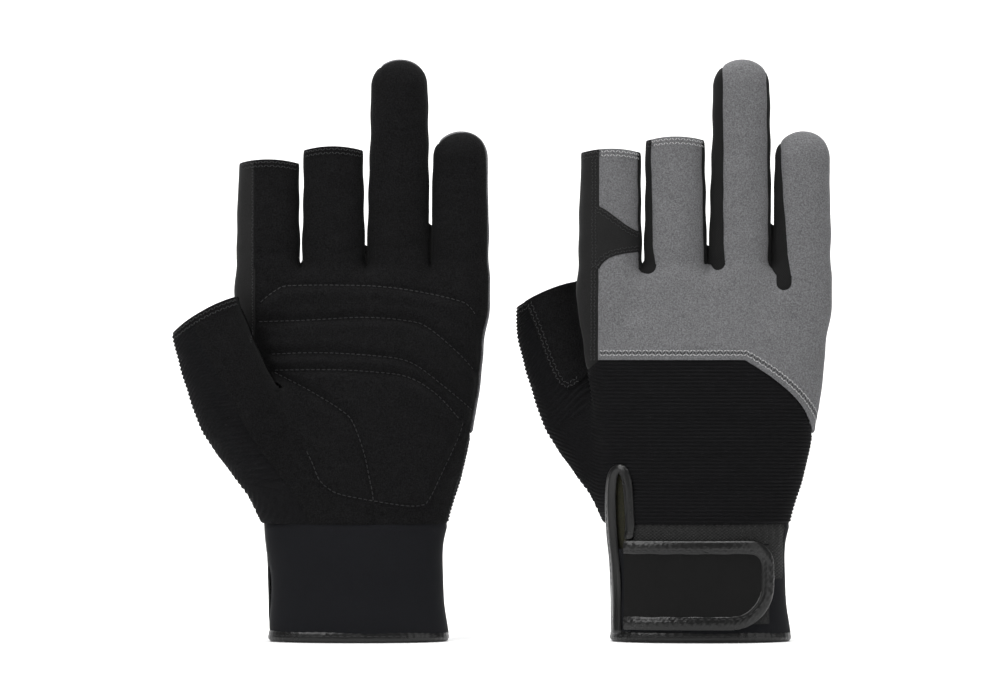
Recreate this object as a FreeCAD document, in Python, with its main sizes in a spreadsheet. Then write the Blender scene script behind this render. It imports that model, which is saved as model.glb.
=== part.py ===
import FreeCAD, Part
import os
import Sketcher

# A pair of short-finger sailing gloves, filled as on a hand and standing on their cuff hems.
# +Z points to the fingertips and +X from thumb to little finger. The left glove stands at -X
# with its palm towards -Y. The right glove is its mirror image across Y, moved along +X, so its
# back faces -Y. The origin is on the resting plane, under the middle of the pair.
# Each glove is drawn about its own centre line: x is counted from there, y from mid-thickness.

doc = FreeCAD.newDocument("SailingGloves")
sheet = doc.addObject("Spreadsheet::Sheet", "Dimensions")

DIMENSIONS = [
    ("left_glove_x", -62.2, "left glove's centre line"),
    ("glove_spacing", 147.0, "distance between the two centre lines"),
    ("wall", 1.5, "thickness of the glove's fabric and leather"),
    ("seam_gap", 0.3, "gap between neighbouring panels"),
    ("side_seam_y", -2.5, "where palm and back meet at the hand's sides"),
    ("hinge_gap", 3.0, "space left each side of a digit's bending line"),
    ("cuff_top", 49.6, "top of the neoprene cuff on the palm side"),
    ("binding_top", 4.6, "top of the hem binding"),
    ("binding_proud", 0.6, "how far the hem binding stands out of the cuff"),
    ("elastic_bottom", 43.0, "lower edge of the elastic band on the back"),
    ("elastic_top", 52.0, "upper edge of the elastic band on the back"),
    ("elastic_thumb_edge", -28.0, "elastic band's end towards the thumb"),
    ("knuckle_border", 120.8, "lower border of the knuckle panel"),
    ("knuckle_corner_x", 18.9, "where that border starts to slant"),
    ("slant_end_x", 46.0, "where the slanted border ends"),
    ("slant_end_z", 94.6, "height of the slanted border's end"),
    ("index_side_x", -43.9, "edge of the side panel on the back"),
    ("index_side_bottom", 117.5, "lower end of the side panel"),
    ("wedge_low_outer", 159.5, "wedge's lower edge at the side panel"),
    ("wedge_low_inner", 166.4, "wedge's lower edge at the middle finger"),
    ("wedge_high_outer", 187.5, "wedge's upper edge at the side panel"),
    ("wedge_high_inner", 177.2, "wedge's upper edge at the middle finger"),
    ("finger_root_low", 128.0, "where the finger tubes leave the hand"),
    ("finger_root_full", 152.0, "where the finger tubes have their full section"),
    ("tip_radius", 12.0, "roundness of a closed fingertip"),
    ("side_half", 3.5, "half the depth of the strip between a finger's palm and back"),
    ("gusset_half_width", 4.2, "half the width of a crotch gusset"),
    ("gusset_half_depth", 7.0, "half the depth of a crotch gusset"),
    ("gusset_bottom", 154.0, "lower end of the crotch gussets"),
    ("root_seam_y", -11.0, "where the thumb root's palm side meets its ribbed back"),
    ("thumb_lean", 29.0, "thumb's lean towards -X in degrees"),
    ("pad_thickness", 1.6, "thickness of the foam pads"),
    ("strap_left", -32.8, "strap's sewn end"),
    ("strap_right", 31.4, "strap's free end"),
    ("strap_bottom", 5.8, "strap's lower edge"),
    ("strap_top", 43.4, "strap's upper edge"),
    ("strap_low_round", 19.0, "radius of the free end's lower corner"),
    ("strap_high_round", 11.0, "radius of the free end's upper corner"),
    ("strap_binding_width", 5.8, "width of the strap's edge binding"),
    ("loop_lift", 0.3, "loop patch's underside above the cuff"),
    ("hook_lift", 1.3, "hook patch's underside above the cuff"),
    ("strap_lift", 2.2, "strap's underside above the cuff"),
    ("strap_skin", 3.5, "strap's outer face above the cuff"),
    ("strap_binding_skin", 4.0, "strap binding's outer face above the cuff"),
    ("loop_left", -6.0, "loop patch's end towards the thumb"),
    ("loop_right", 32.0, "loop patch's end towards the little finger"),
    ("loop_bottom", 11.0, "loop patch's lower edge"),
    ("loop_top", 38.5, "loop patch's upper edge"),
    ("slit_left", -39.8, "slit binding's outer edge"),
    ("slit_right", -29.4, "slit binding's inner edge"),
    ("slit_top", 75.7, "top of the slit binding"),
    ("slit_foot", 46.0, "lower end of the slit binding's inner strand"),
    ("slit_strand", 3.2, "width of one strand of the slit binding"),
    ("slit_skin", 1.5, "slit binding's outer face above the glove"),
]

# Cross-sections of the hand and cuff: height, thumb-side edge, little-finger edge, half depth.
HAND_SECTIONS = {
    "hem": (0.0, -38.3, 38.9, 20.5),
    "cuff": (18.0, -37.2, 37.4, 20.0),
    "wrist": (37.0, -38.8, 36.3, 19.3),
    "heel": (52.0, -40.3, 39.2, 18.8),
    "thenar": (72.0, -43.0, 44.9, 18.6),
    "palm": (98.0, -47.0, 50.3, 18.0),
    "knuckle": (128.0, -51.2, 53.7, 16.5),
    "web": (160.0, -50.5, 54.6, 13.0),
}
SECTION_FIELDS = ("height", "thumb_edge", "little_edge", "half_depth")

# Fingers: centre, half width and half depth at the root and at the tip, tip height, bending line.
FINGERS = {
    "index": (-39.0, -38.3, 13.2, 12.9, 10.6, 10.2, 207.7, 171.5),
    "middle": (-10.6, -10.5, 12.9, 12.7, 10.9, 10.4, 213.0, 173.5),
    "ring": (17.2, 18.1, 12.5, 12.0, 10.4, 9.9, 250.3, 173.5),
    "little": (44.0, 44.2, 12.1, 11.7, 9.8, 9.4, 219.3, 168.5),
}
FINGER_FIELDS = ("root_x", "tip_x", "root_half_width", "tip_half_width",
                 "root_half_depth", "tip_half_depth", "height", "bend")
CLOSED_FINGERS = ("ring", "little")

# Thumb sections: outer corner x and z, width, centre y, half depth.
THUMB_SECTIONS = {
    "thumb_base": (-45.5, 56.0, 34.0, -5.0, 10.5),
    "thumb_heel": (-58.0, 75.5, 39.0, -10.0, 13.0),
    "thumb_web": (-66.2, 90.7, 38.0, -17.5, 13.3),
    "thumb_top": (-78.7, 132.4, 32.0, -21.5, 12.0),
}
THUMB_FIELDS = ("outer_x", "outer_z", "width", "centre_y", "half_depth")
THUMB_BEND = 8.0 / 42.5
THUMB_BEND_GAP = 3.0 / 42.5

for section, values in HAND_SECTIONS.items():
    DIMENSIONS += [(f"{section}_{field}", value, section)
                   for field, value in zip(SECTION_FIELDS, values)]
for finger, values in FINGERS.items():
    DIMENSIONS += [(f"{finger}_{field}", value, finger)
                   for field, value in zip(FINGER_FIELDS, values)]
for section, values in THUMB_SECTIONS.items():
    DIMENSIONS += [(f"{section}_{field}", value, section)
                   for field, value in zip(THUMB_FIELDS, values)]
DIMENSIONS += [("thumb_bend", THUMB_BEND, "bending line's share of the way from web to top"),
               ("thumb_bend_gap", THUMB_BEND_GAP, "space each side of it, as the same share")]

for row, (alias, value, meaning) in enumerate(DIMENSIONS, start=1):
    sheet.set(f"A{row}", meaning)
    sheet.set(f"B{row}", str(value))
    sheet.setAlias(f"B{row}", alias)
doc.recompute()


def size(alias):
    """The sheet's cell as an expression."""
    return f"Dimensions.{alias}"


def bind(thing, **expressions):
    """Bind properties; a double underscore in a name stands for a dot."""
    for name, expression in expressions.items():
        thing.setExpression(name.replace("__", "."), str(expression))
    return thing


# ---------------------------------------------------------------- shared numbers

# Cutting shapes run this far sideways, this far past the end of what they cut, and in a loft
# past it by this share of the way between two sections.
FAR = 100
PAST = 1
PAST_SHARE = 0.05
PANELS_TOP = 175
FINGERS_FROM, FINGERS_TO = 160, 260
half_gap = f"({size('seam_gap')} / 2)"

# ---------------------------------------------------------------- building blocks

# Every ring starts at this angle, so that a loft's own seam stays clear of the panels' edges.
SEAM_ANGLE = 300


def ellipse(name, x, y, z, half_width, half_depth, lean=None):
    ring = doc.addObject("Part::Ellipse", name)
    ring.Angle1 = SEAM_ANGLE
    ring.Angle2 = SEAM_ANGLE
    bind(ring, MajorRadius=half_width, MinorRadius=half_depth)
    if lean is not None:
        ring.Placement.Rotation = FreeCAD.Rotation(FreeCAD.Vector(0, 1, 0), -1)
        bind(ring, Placement__Rotation__Angle=lean)
    return bind(ring, Placement__Base__x=x, Placement__Base__y=y, Placement__Base__z=z)


def loft(name, rings):
    solid = doc.addObject("Part::Loft", name)
    solid.Sections = rings
    solid.Solid = True
    solid.Ruled = True
    return solid


def cut(name, base, tool):
    result = doc.addObject("Part::Cut", name)
    result.Base = base
    result.Tool = tool
    return result


def common(name, base, tool):
    result = doc.addObject("Part::Common", name)
    result.Base = base
    result.Tool = tool
    return result


def fuse(name, shapes):
    result = doc.addObject("Part::MultiFuse", name)
    result.Shapes = shapes
    return result


def block(name, x_from, x_to, y_from, y_to, z_from, z_to):
    box = doc.addObject("Part::Box", name)
    bind(box, Length=f"({x_to}) - ({x_from})", Width=f"({y_to}) - ({y_from})")
    bind(box, Height=f"({z_to}) - ({z_from})")
    return bind(box, Placement__Base__x=x_from, Placement__Base__y=y_from,
                Placement__Base__z=z_from)


def outline_prism(name, corners, start_at, end_at, plane="XZ"):
    """A straight-sided outline, drawn as a sketch in the XZ or XY plane and extruded across it."""
    sketch = doc.addObject("Sketcher::SketchObject", name + "_outline")
    if plane == "XZ":
        sketch.Placement.Rotation = FreeCAD.Rotation(FreeCAD.Vector(1, 0, 0), 90)
    count = len(corners)
    values = [[float(FreeCAD.Units.Quantity(str(sheet.evalExpression(str(part)))))
               for part in corner] for corner in corners]
    for number in range(count):
        start = FreeCAD.Vector(*values[number], 0)
        end = FreeCAD.Vector(*values[(number + 1) % count], 0)
        sketch.addGeometry(Part.LineSegment(start, end), False)
    for number in range(count):
        sketch.addConstraint(Sketcher.Constraint("Coincident", number, 2, (number + 1) % count, 1))
    for number, corner in enumerate(corners):
        for kind, value, expression in zip(("DistanceX", "DistanceY"), values[number], corner):
            index = sketch.addConstraint(Sketcher.Constraint(kind, -1, 1, number, 1, value))
            sketch.setExpression(f"Constraints[{index}]", str(expression))
    prism = doc.addObject("Part::Extrusion", name)
    prism.Base = sketch
    prism.DirMode = "Custom"
    prism.Dir = FreeCAD.Vector(0, 1, 0) if plane == "XZ" else FreeCAD.Vector(0, 0, 1)
    prism.Solid = True
    return bind(prism, LengthFwd=end_at, LengthRev=f"-({start_at})")


NODES = []


def panel(label, shell, region):
    """A finished piece of the left glove: the part of a shell inside a region."""
    piece = common("piece_" + label, shell, region)
    return finish(label, piece)


def finish(label, piece):
    piece.Label = "left_" + label
    bind(piece, Placement__Base__x=size("left_glove_x"))
    NODES.append(piece)
    return piece


# ---------------------------------------------------------------- hand and cuff

def hand_ring(name, section, offset):
    """One cross-section, grown by offset; a negative offset gives the inside of a wall."""
    left, right = size(section + "_thumb_edge"), size(section + "_little_edge")
    depth = size(section + "_half_depth")
    return ellipse(name, f"({left} + {right}) / 2", 0, size(section + "_height"),
                   f"({right} - {left}) / 2 + {offset}", f"{depth} + {offset}")


def hand_loft(name, offset, sections, ends=(0, 0)):
    """The hand's form through the named sections; ends move the first and last ones in z."""
    rings = [hand_ring(f"{name}_{section}", section, offset) for section in sections]
    for ring, section, shift in ((rings[0], sections[0], ends[0]), (rings[-1], sections[-1], ends[1])):
        bind(ring, Placement__Base__z=f"{size(section + '_height')} + {shift}")
    return loft(name, rings)


def finger_ring(name, finger, height, offset, share="1"):
    """A finger's cross-section at a height; share makes it smaller near a rounded end."""
    way = f"({height} - {size('finger_root_full')}) / ({size(finger + '_height')} - {size('finger_root_full')})"

    def along(field):
        root, tip = size(f"{finger}_root_{field}"), size(f"{finger}_tip_{field}")
        return f"({root} + ({tip} - {root}) * {way})"

    return ellipse(name, along("x"), 0, height, f"({along('half_width')} + {offset}) * {share}",
                   f"({along('half_depth')} + {offset}) * {share}")


# A finger's root grows from this share of its size, and a closed tip is rounded in these steps.
ROOT_SHARE = "0.55"
TIP_DEGREES = (0, 28, 52, 70, 84)


def finger_stub(finger, name, offset, top):
    """The start of a finger tube, growing out of the hand."""
    rings = [finger_ring(f"{name}_low", finger, size("finger_root_low"), offset, ROOT_SHARE),
             finger_ring(f"{name}_full", finger, size("finger_root_full"), offset),
             finger_ring(f"{name}_top", finger, top, offset)]
    return loft(name, rings)


def finger_tube(finger, name, offset, bottom):
    """The free part of a finger, open at a cropped end or with a rounded tip."""
    rings = [finger_ring(f"{name}_bottom", finger, bottom, offset)]
    top = size(finger + "_height")
    if finger in CLOSED_FINGERS:
        radius = size("tip_radius")
        for degrees in TIP_DEGREES:
            height = f"({top} - {radius} + ({radius} + {offset}) * sin({degrees}))"
            rings.append(finger_ring(f"{name}_at_{degrees}", finger, height, offset,
                                     f"cos({degrees})"))
    else:
        past_opening = f"({top} - 2 * ({offset}))" if offset != "0" else top
        rings.append(finger_ring(f"{name}_end", finger, past_opening, offset))
    return loft(name, rings)


def thumb_ring(name, lower, upper, share, offset):
    """A thumb section square to its leaning axis, part of the way from one section to the next."""
    def along(field):
        first, last = size(f"{lower}_{field}"), size(f"{upper}_{field}")
        return f"({first} + ({last} - {first}) * ({share}))"

    lean = size("thumb_lean")
    half_width = f"({along('width')} / 2)"
    return ellipse(name, f"{along('outer_x')} + {half_width} * cos({lean})", along("centre_y"),
                   f"{along('outer_z')} + {half_width} * sin({lean})", f"{half_width} + {offset}",
                   f"{along('half_depth')} + {offset}", f"-{lean}")


def thumb_root(name, offset, top_share):
    names = ("thumb_base", "thumb_heel", "thumb_web")
    rings = [thumb_ring(f"{name}_{section}", section, section, 0, offset) for section in names]
    rings.append(thumb_ring(name + "_top", "thumb_web", "thumb_top", top_share, offset))
    return loft(name, rings)


def thumb_tube(name, offset, bottom_share, top_share):
    shares = (bottom_share, f"({bottom_share} + {top_share}) / 2", top_share)
    return loft(name, [thumb_ring(f"{name}_{number}", "thumb_web", "thumb_top", share, offset)
                       for number, share in enumerate(shares)])


INSIDE = f"-{size('wall')}"
ALL_SECTIONS = tuple(HAND_SECTIONS)
bend_start = f"({size('thumb_bend')} - {size('thumb_bend_gap')})"
bend_end = f"({size('thumb_bend')} + {size('thumb_bend_gap')})"

outer_forms = [hand_loft("hand_outer", "0", ALL_SECTIONS)]
inner_forms = [hand_loft("hand_inner", INSIDE, ALL_SECTIONS, (f"-2 * {PAST}", INSIDE))]
for finger in FINGERS:
    stub_top = f"({size(finger + '_bend')} - {size('hinge_gap')})"
    outer_forms.append(finger_stub(finger, f"{finger}_stub_outer", "0", stub_top))
    inner_forms.append(finger_stub(finger, f"{finger}_stub_inner", INSIDE, f"({stub_top} + {PAST})"))
hand_shell = cut("hand_shell", fuse("hand_form", outer_forms), fuse("hand_space", inner_forms))

# The saddle between two fingers is its own small gusset, cut out of the hand's wall.
CROTCHES = {"index": "middle", "middle": "ring", "ring": "little"}


def crotch_blocks(name, grow):
    blocks = []
    for finger, neighbour in CROTCHES.items():
        middle = (f"(({size(finger + '_root_x')} + {size(finger + '_root_half_width')}"
                  f" + {size(neighbour + '_root_x')} - {size(neighbour + '_root_half_width')}) / 2)")
        wide = f"({size('gusset_half_width')} + {grow})"
        deep = f"({size('gusset_half_depth')} + {grow})"
        blocks.append(block(f"{name}_{finger}", f"{middle} - {wide}", f"{middle} + {wide}", f"-{deep}",
                            deep, f"{size('gusset_bottom')} - {grow}", PANELS_TOP))
    return fuse(name, blocks)


panel("crotch_gussets", hand_shell, crotch_blocks("gusset_space", "0"))
hand_panels = cut("hand_panels", hand_shell, crotch_blocks("gusset_clearance", size("seam_gap")))


# Seams on the palm side, each drawn from the cuff upwards.
SEAMS_FROM = 50.2
THUMB_SEAM_TO = 148.0
INDEX_SEAM_FROM = 130.0
RIB_SEAM = [(-20.6, SEAMS_FROM), (-29.2, 66.2), (-44.3, 87.3), (-52.9, 104.0), (-61.9, 120.4),
            (-76.0, THUMB_SEAM_TO)]
THENAR_SEAM = [(7.2, SEAMS_FROM), (6.9, 61.9), (3.0, 81.3), (-6.0, 98.9), (-19.8, 107.5), (-36.0, 117.5)]


def beside(seam, gap):
    return [(f"{x} + {gap}", z) for x, z in seam]


palm_side = f"-{FAR}"
palm_seam = f"({size('side_seam_y')} - {half_gap})"
back_seam = f"({size('side_seam_y')} + {half_gap})"
cuff_line = f"{size('cuff_top')} + {half_gap}"

rib_wrap = outline_prism("rib_wrap", [(-FAR, SEAMS_FROM)] + beside(RIB_SEAM, f"-{half_gap}")
                         + [(-FAR, THUMB_SEAM_TO)], palm_side, back_seam)
thenar_region = outline_prism("thenar_region",
                              beside(RIB_SEAM[:4], half_gap) + [(-50.0, INDEX_SEAM_FROM)]
                              + beside(THENAR_SEAM[::-1], f"-{half_gap}"), palm_side, palm_seam)
palm_region = outline_prism("palm_region",
                            beside(THENAR_SEAM, half_gap)
                            + [(-49.7, f"{INDEX_SEAM_FROM} + {size('seam_gap')}"),
                               (-FAR, f"{INDEX_SEAM_FROM} + {size('seam_gap')}"), (-FAR, PANELS_TOP),
                               (FAR, PANELS_TOP), (FAR, SEAMS_FROM)], palm_side, palm_seam)

# The thumb's root is a short tube in front of the palm's edge. It is cut back to stand a little
# clear of the hand's wall, which has a hole where the thumb goes through.
ROOT_BACK = [(-49.6, 40.0), (-49.6, -3.6), (-46.0, -8.2), (-40.0, -11.4), (-30.0, -15.4),
             (-20.0, -18.0), (20.0, -19.2), (20.0, 40.0)]
THUMB_HOLE = [(-70.0, 68.0), (-70.0, 103.0), (-36.0, 103.0), (-29.0, 88.0), (-31.0, 68.0)]
ROOT_BACK_FROM, ROOT_BACK_TO = 20, 180
root_back = outline_prism("root_back", ROOT_BACK, ROOT_BACK_FROM, ROOT_BACK_TO, "XY")
root_form = cut("thumb_root_form", thumb_root("thumb_root_outer", "0", bend_start), root_back)
root_shell = cut("thumb_root_shell", root_form,
                 thumb_root("thumb_root_inner", INSIDE, f"{bend_start} + {PAST_SHARE}"))
thumb_hole = outline_prism("thumb_hole", THUMB_HOLE, palm_side, f"{size('side_seam_y')} - {PAST}")
root_front = outline_prism("root_front", beside(RIB_SEAM, half_gap) + [(FAR, THUMB_SEAM_TO), (FAR, SEAMS_FROM)],
                           palm_side, size("root_seam_y"))
root_front_clearance = outline_prism("root_front_clearance",
                                     beside(RIB_SEAM, f"-{half_gap}")
                                     + [(FAR, THUMB_SEAM_TO), (FAR, SEAMS_FROM)],
                                     palm_side, f"{size('root_seam_y')} + {size('seam_gap')}")


def joined(label, hand_part, root_part):
    """A piece with one part on the hand's wall and one on the thumb's root."""
    opened = cut(f"{label}_opened", hand_part, thumb_hole)
    return finish(label, fuse("piece_" + label, [opened, root_part]))


joined("thenar_panel", common("thenar_on_hand", hand_panels, thenar_region),
       common("thenar_on_root", root_shell, root_front))
panel("palm_panel", hand_panels, palm_region)


def border(side):
    """The knuckle panel's lower border, from the thumb side outwards, moved up or down by side."""
    return [(size("knuckle_corner_x"), f"{size('knuckle_border')} {side} {half_gap}"),
            (size("slant_end_x"), f"{size('slant_end_z')} {side} {half_gap}"),
            (FAR, f"{size('slant_end_z')} {side} {half_gap}")]


side_x = size("index_side_x")
knuckle_region = outline_prism(
    "knuckle_region",
    [(f"{side_x} + {half_gap}", f"{size('knuckle_border')} + {half_gap}")] + border("+")
    + [(FAR, PANELS_TOP), (-25.0, PANELS_TOP), (-26.7, f"{size('wedge_low_inner')} - {half_gap}"),
       (f"{side_x} + {half_gap}", f"{size('wedge_low_outer')} - {half_gap}")], back_seam, FAR)
panel("knuckle_panel", hand_panels, knuckle_region)

side_region = outline_prism(
    "side_region",
    [(-FAR, size("index_side_bottom")), (f"{side_x} - {half_gap}", f"{size('knuckle_border')} + {half_gap}"),
     (f"{side_x} - {half_gap}", f"{size('wedge_low_outer')} + {half_gap}"),
     (-26.9, f"{size('wedge_low_inner')} + {half_gap}"), (-25.2, PANELS_TOP),
     (-FAR, PANELS_TOP)], back_seam, FAR)
panel("index_side_panel", hand_panels, side_region)

rib_back = outline_prism(
    "rib_back",
    [(-FAR, f"{size('elastic_top')} + {half_gap}"),
     (-FAR, f"{size('index_side_bottom')} - {size('seam_gap')}"),
     (side_x, f"{size('knuckle_border')} - {half_gap}")] + border("-")
    + [(FAR, f"{size('elastic_top')} + {half_gap}")], back_seam, FAR)
joined("rib_panel", common("rib_on_hand", hand_panels, fuse("rib_region", [rib_back, rib_wrap])),
       cut("rib_on_root", root_shell, root_front_clearance))

# ---------------------------------------------------------------- cuff

elastic_left = size("elastic_thumb_edge")
elastic_space = block("elastic_space", elastic_left, FAR, back_seam, FAR,
                      f"{size('elastic_bottom')} + {half_gap}", f"{size('elastic_top')} - {half_gap}")
panel("cuff_elastic", hand_panels, elastic_space)

band_bottom = f"{size('binding_top')} + {half_gap}"
cuff_front = block("cuff_front", -FAR, FAR, -FAR, palm_seam, band_bottom,
                   f"{size('cuff_top')} - {half_gap}")
CUFF_BACK_FROM = -3
cuff_back = block("cuff_back", -FAR, FAR, CUFF_BACK_FROM, FAR, band_bottom, f"{size('elastic_bottom')} - {half_gap}")
cuff_tab = block("cuff_tab", -FAR, f"{elastic_left} - {size('seam_gap')}", CUFF_BACK_FROM, FAR, band_bottom,
                 f"{size('elastic_top')} - {half_gap}")
panel("cuff_band", hand_panels, fuse("cuff_space", [cuff_front, cuff_back, cuff_tab]))

CUFF_SECTIONS = ("hem", "cuff", "wrist", "heel", "thenar", "palm")
binding_form = hand_loft("binding_form", size("binding_proud"), CUFF_SECTIONS)
binding_space = hand_loft("binding_space", f"-({size('wall')} + {size('seam_gap')})", CUFF_SECTIONS,
                          (f"-2 * {PAST}", 0))
binding_shell = cut("binding_shell", binding_form, binding_space)
panel("cuff_binding", binding_shell,
      block("binding_slice", -FAR, FAR, -FAR, FAR, 0, f"{size('binding_top')} - {half_gap}"))


def overlay(name, underside, top):
    """A thin skin over the back of the cuff, between two heights above the glove's surface."""
    return cut(name, hand_loft(name + "_top", top, CUFF_SECTIONS, (f"-{PAST}", 0)),
               hand_loft(name + "_under", underside, CUFF_SECTIONS, (f"-2 * {PAST}", PAST)))


def edge_at(shape, x, z):
    """The number of the straight edge along Y at a corner of a block."""
    for number, edge in enumerate(shape.Edges, start=1):
        ends = [vertex.Point for vertex in edge.Vertexes]
        if all(abs(end.x - x) < 0.01 and abs(end.z - z) < 0.01 for end in ends):
            return number
    raise ValueError("no edge at that corner")


def strap_outline(name, inset):
    """The strap's outline as a block along Y with two rounded corners at the free end."""
    tab = block(name + "_block", f"{size('strap_left')} + {inset}", f"{size('strap_right')} - ({inset})",
                half_gap, FAR, f"{size('strap_bottom')} + {inset}", f"{size('strap_top')} - ({inset})")
    doc.recompute()
    bounds = tab.Shape.BoundBox
    rounded = doc.addObject("Part::Fillet", name)
    rounded.Base = tab
    low = edge_at(tab.Shape, bounds.XMax, bounds.ZMin)
    high = edge_at(tab.Shape, bounds.XMax, bounds.ZMax)
    shrink = inset_value(inset)
    low_round = sheet.get("strap_low_round") - shrink
    high_round = sheet.get("strap_high_round") - shrink
    rounded.Edges = [(low, low_round, low_round), (high, high_round, high_round)]
    return rounded


def inset_value(expression):
    return float(FreeCAD.Units.Quantity(str(sheet.evalExpression(expression))))


loop_space = block("loop_space", size("loop_left"), size("loop_right"), half_gap, FAR,
                   size("loop_bottom"), size("loop_top"))
panel("loop_patch", overlay("loop_skin", size("loop_lift"), f"{size('hook_lift')} - {size('seam_gap')}"),
      loop_space)

# The slit's binding is a narrow loop whose outer strand runs on down to the hem.
slit_skin = overlay("slit_form", size("loop_lift"), size("slit_skin"))
slit_loop = block("slit_loop", size("slit_left"), size("slit_right"), half_gap, FAR, size("slit_foot"),
                  size("slit_top"))
slit_hole = block("slit_hole", f"{size('slit_left')} + {size('slit_strand')}",
                  f"{size('slit_right')} - {size('slit_strand')}", 0, FAR,
                  f"{size('slit_foot')} - {PAST}", f"{size('slit_top')} - {size('slit_strand')}")
STRAP_CLEARANCE = 1.4
slit_strand = block("slit_strand", size("slit_left"), f"{size('strap_left')} - {STRAP_CLEARANCE}", half_gap,
                    FAR, f"{size('binding_top')} + {PAST}", f"{size('slit_foot')} + {PAST}")
panel("slit_binding", slit_skin,
      fuse("slit_region", [cut("slit_ring", slit_loop, slit_hole), slit_strand]))

# ---------------------------------------------------------------- strap

strap_whole = strap_outline("strap_whole", "0")
strap_field = strap_outline("strap_field", size("strap_binding_width"))
strap_middle = strap_outline("strap_middle", f"{size('strap_binding_width')} + {size('seam_gap')}")
panel("strap_panel", overlay("strap_skin_form", size("strap_lift"), size("strap_skin")), strap_middle)
panel("strap_binding", overlay("strap_binding_form", size("strap_lift"), size("strap_binding_skin")),
      cut("strap_frame", strap_whole, strap_field))
# The hook tape is smaller than the loop patch that it grips, by this much at each edge.
HOOK_LEFT, HOOK_RIGHT, HOOK_EDGE = 8, 5, 2
HOOK_GAP = 0.1
hook_space = block("hook_space", f"{size('loop_left')} + {HOOK_LEFT}", f"{size('loop_right')} - {HOOK_RIGHT}",
                   half_gap, FAR, f"{size('loop_bottom')} + {HOOK_EDGE}", f"{size('loop_top')} - {HOOK_EDGE}")
panel("hook_patch", overlay("hook_skin", size("hook_lift"), f"{size('strap_lift')} - {HOOK_GAP}"), hook_space)

# ---------------------------------------------------------------- pads inside the palm

pad_outer = f"-({size('wall')} + {size('seam_gap')})"
pad_inner = f"-({size('wall')} + {size('seam_gap')} + {size('pad_thickness')})"
pad_shell = cut("pad_shell", hand_loft("pad_top", pad_outer, ALL_SECTIONS, (0, f"-3 * {PAST}")),
                hand_loft("pad_under", pad_inner, ALL_SECTIONS, (f"-2 * {PAST}", f"-2 * {PAST}")))
# Each pad's x and z ranges on the palm; all of them end this far in front of the glove's middle.
PADS_BACK = -4
PADS = {"knuckle": (-34.0, 40.0, 141.0, 151.0), "upper": (-36.0, 42.0, 126.0, 138.0),
        "thumb": (-20.0, 1.0, 68.0, 102.0), "heel": (11.0, 40.0, 64.0, 112.0)}
pad_blocks = [block(f"pad_{name}", x_from, x_to, -FAR, PADS_BACK, z_from, z_to)
              for name, (x_from, x_to, z_from, z_to) in PADS.items()]
panel("palm_pads", pad_shell, fuse("pad_region", pad_blocks))

# ---------------------------------------------------------------- thumb

THUMB_CLEARANCE = 0.6
THUMB_FROM, THUMB_INNER_X = 95.0, -20.0
SEAM_BEHIND_MIDDLE = 1.5
hand_clearance = hand_loft("hand_clearance", str(THUMB_CLEARANCE), ALL_SECTIONS)
thumb_wall = cut("thumb_wall", thumb_tube("thumb_outer", "0", bend_end, "1"),
                 thumb_tube("thumb_inner", INSIDE, f"({bend_end} - {PAST_SHARE})",
                            f"(1 + {PAST_SHARE})"))
thumb_shell = cut("thumb_shell", thumb_wall, hand_clearance)
THUMB_SEAM = [(-48.0, THUMB_FROM)] + RIB_SEAM[3:]
thumb_inside = beside(THUMB_SEAM, half_gap) + [(THUMB_INNER_X, THUMB_SEAM_TO), (THUMB_INNER_X, THUMB_FROM)]
thumb_mid = f"{size('thumb_top_centre_y')} + {SEAM_BEHIND_MIDDLE}"
rib_strip = outline_prism("rib_strip", [(-FAR, THUMB_FROM)] + beside(THUMB_SEAM, f"-{half_gap}")
                          + [(-FAR, THUMB_SEAM_TO)], -FAR, FAR)
front_region = outline_prism("thumb_front_region", thumb_inside, -FAR, f"{thumb_mid} - {half_gap}")
back_only = outline_prism("thumb_back_region", thumb_inside, f"{thumb_mid} + {half_gap}", FAR)
panel("thumb_rib", thumb_shell, rib_strip)
panel("thumb_palm", thumb_shell, front_region)
panel("thumb_back", thumb_shell, back_only)

# ---------------------------------------------------------------- fingers

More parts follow.
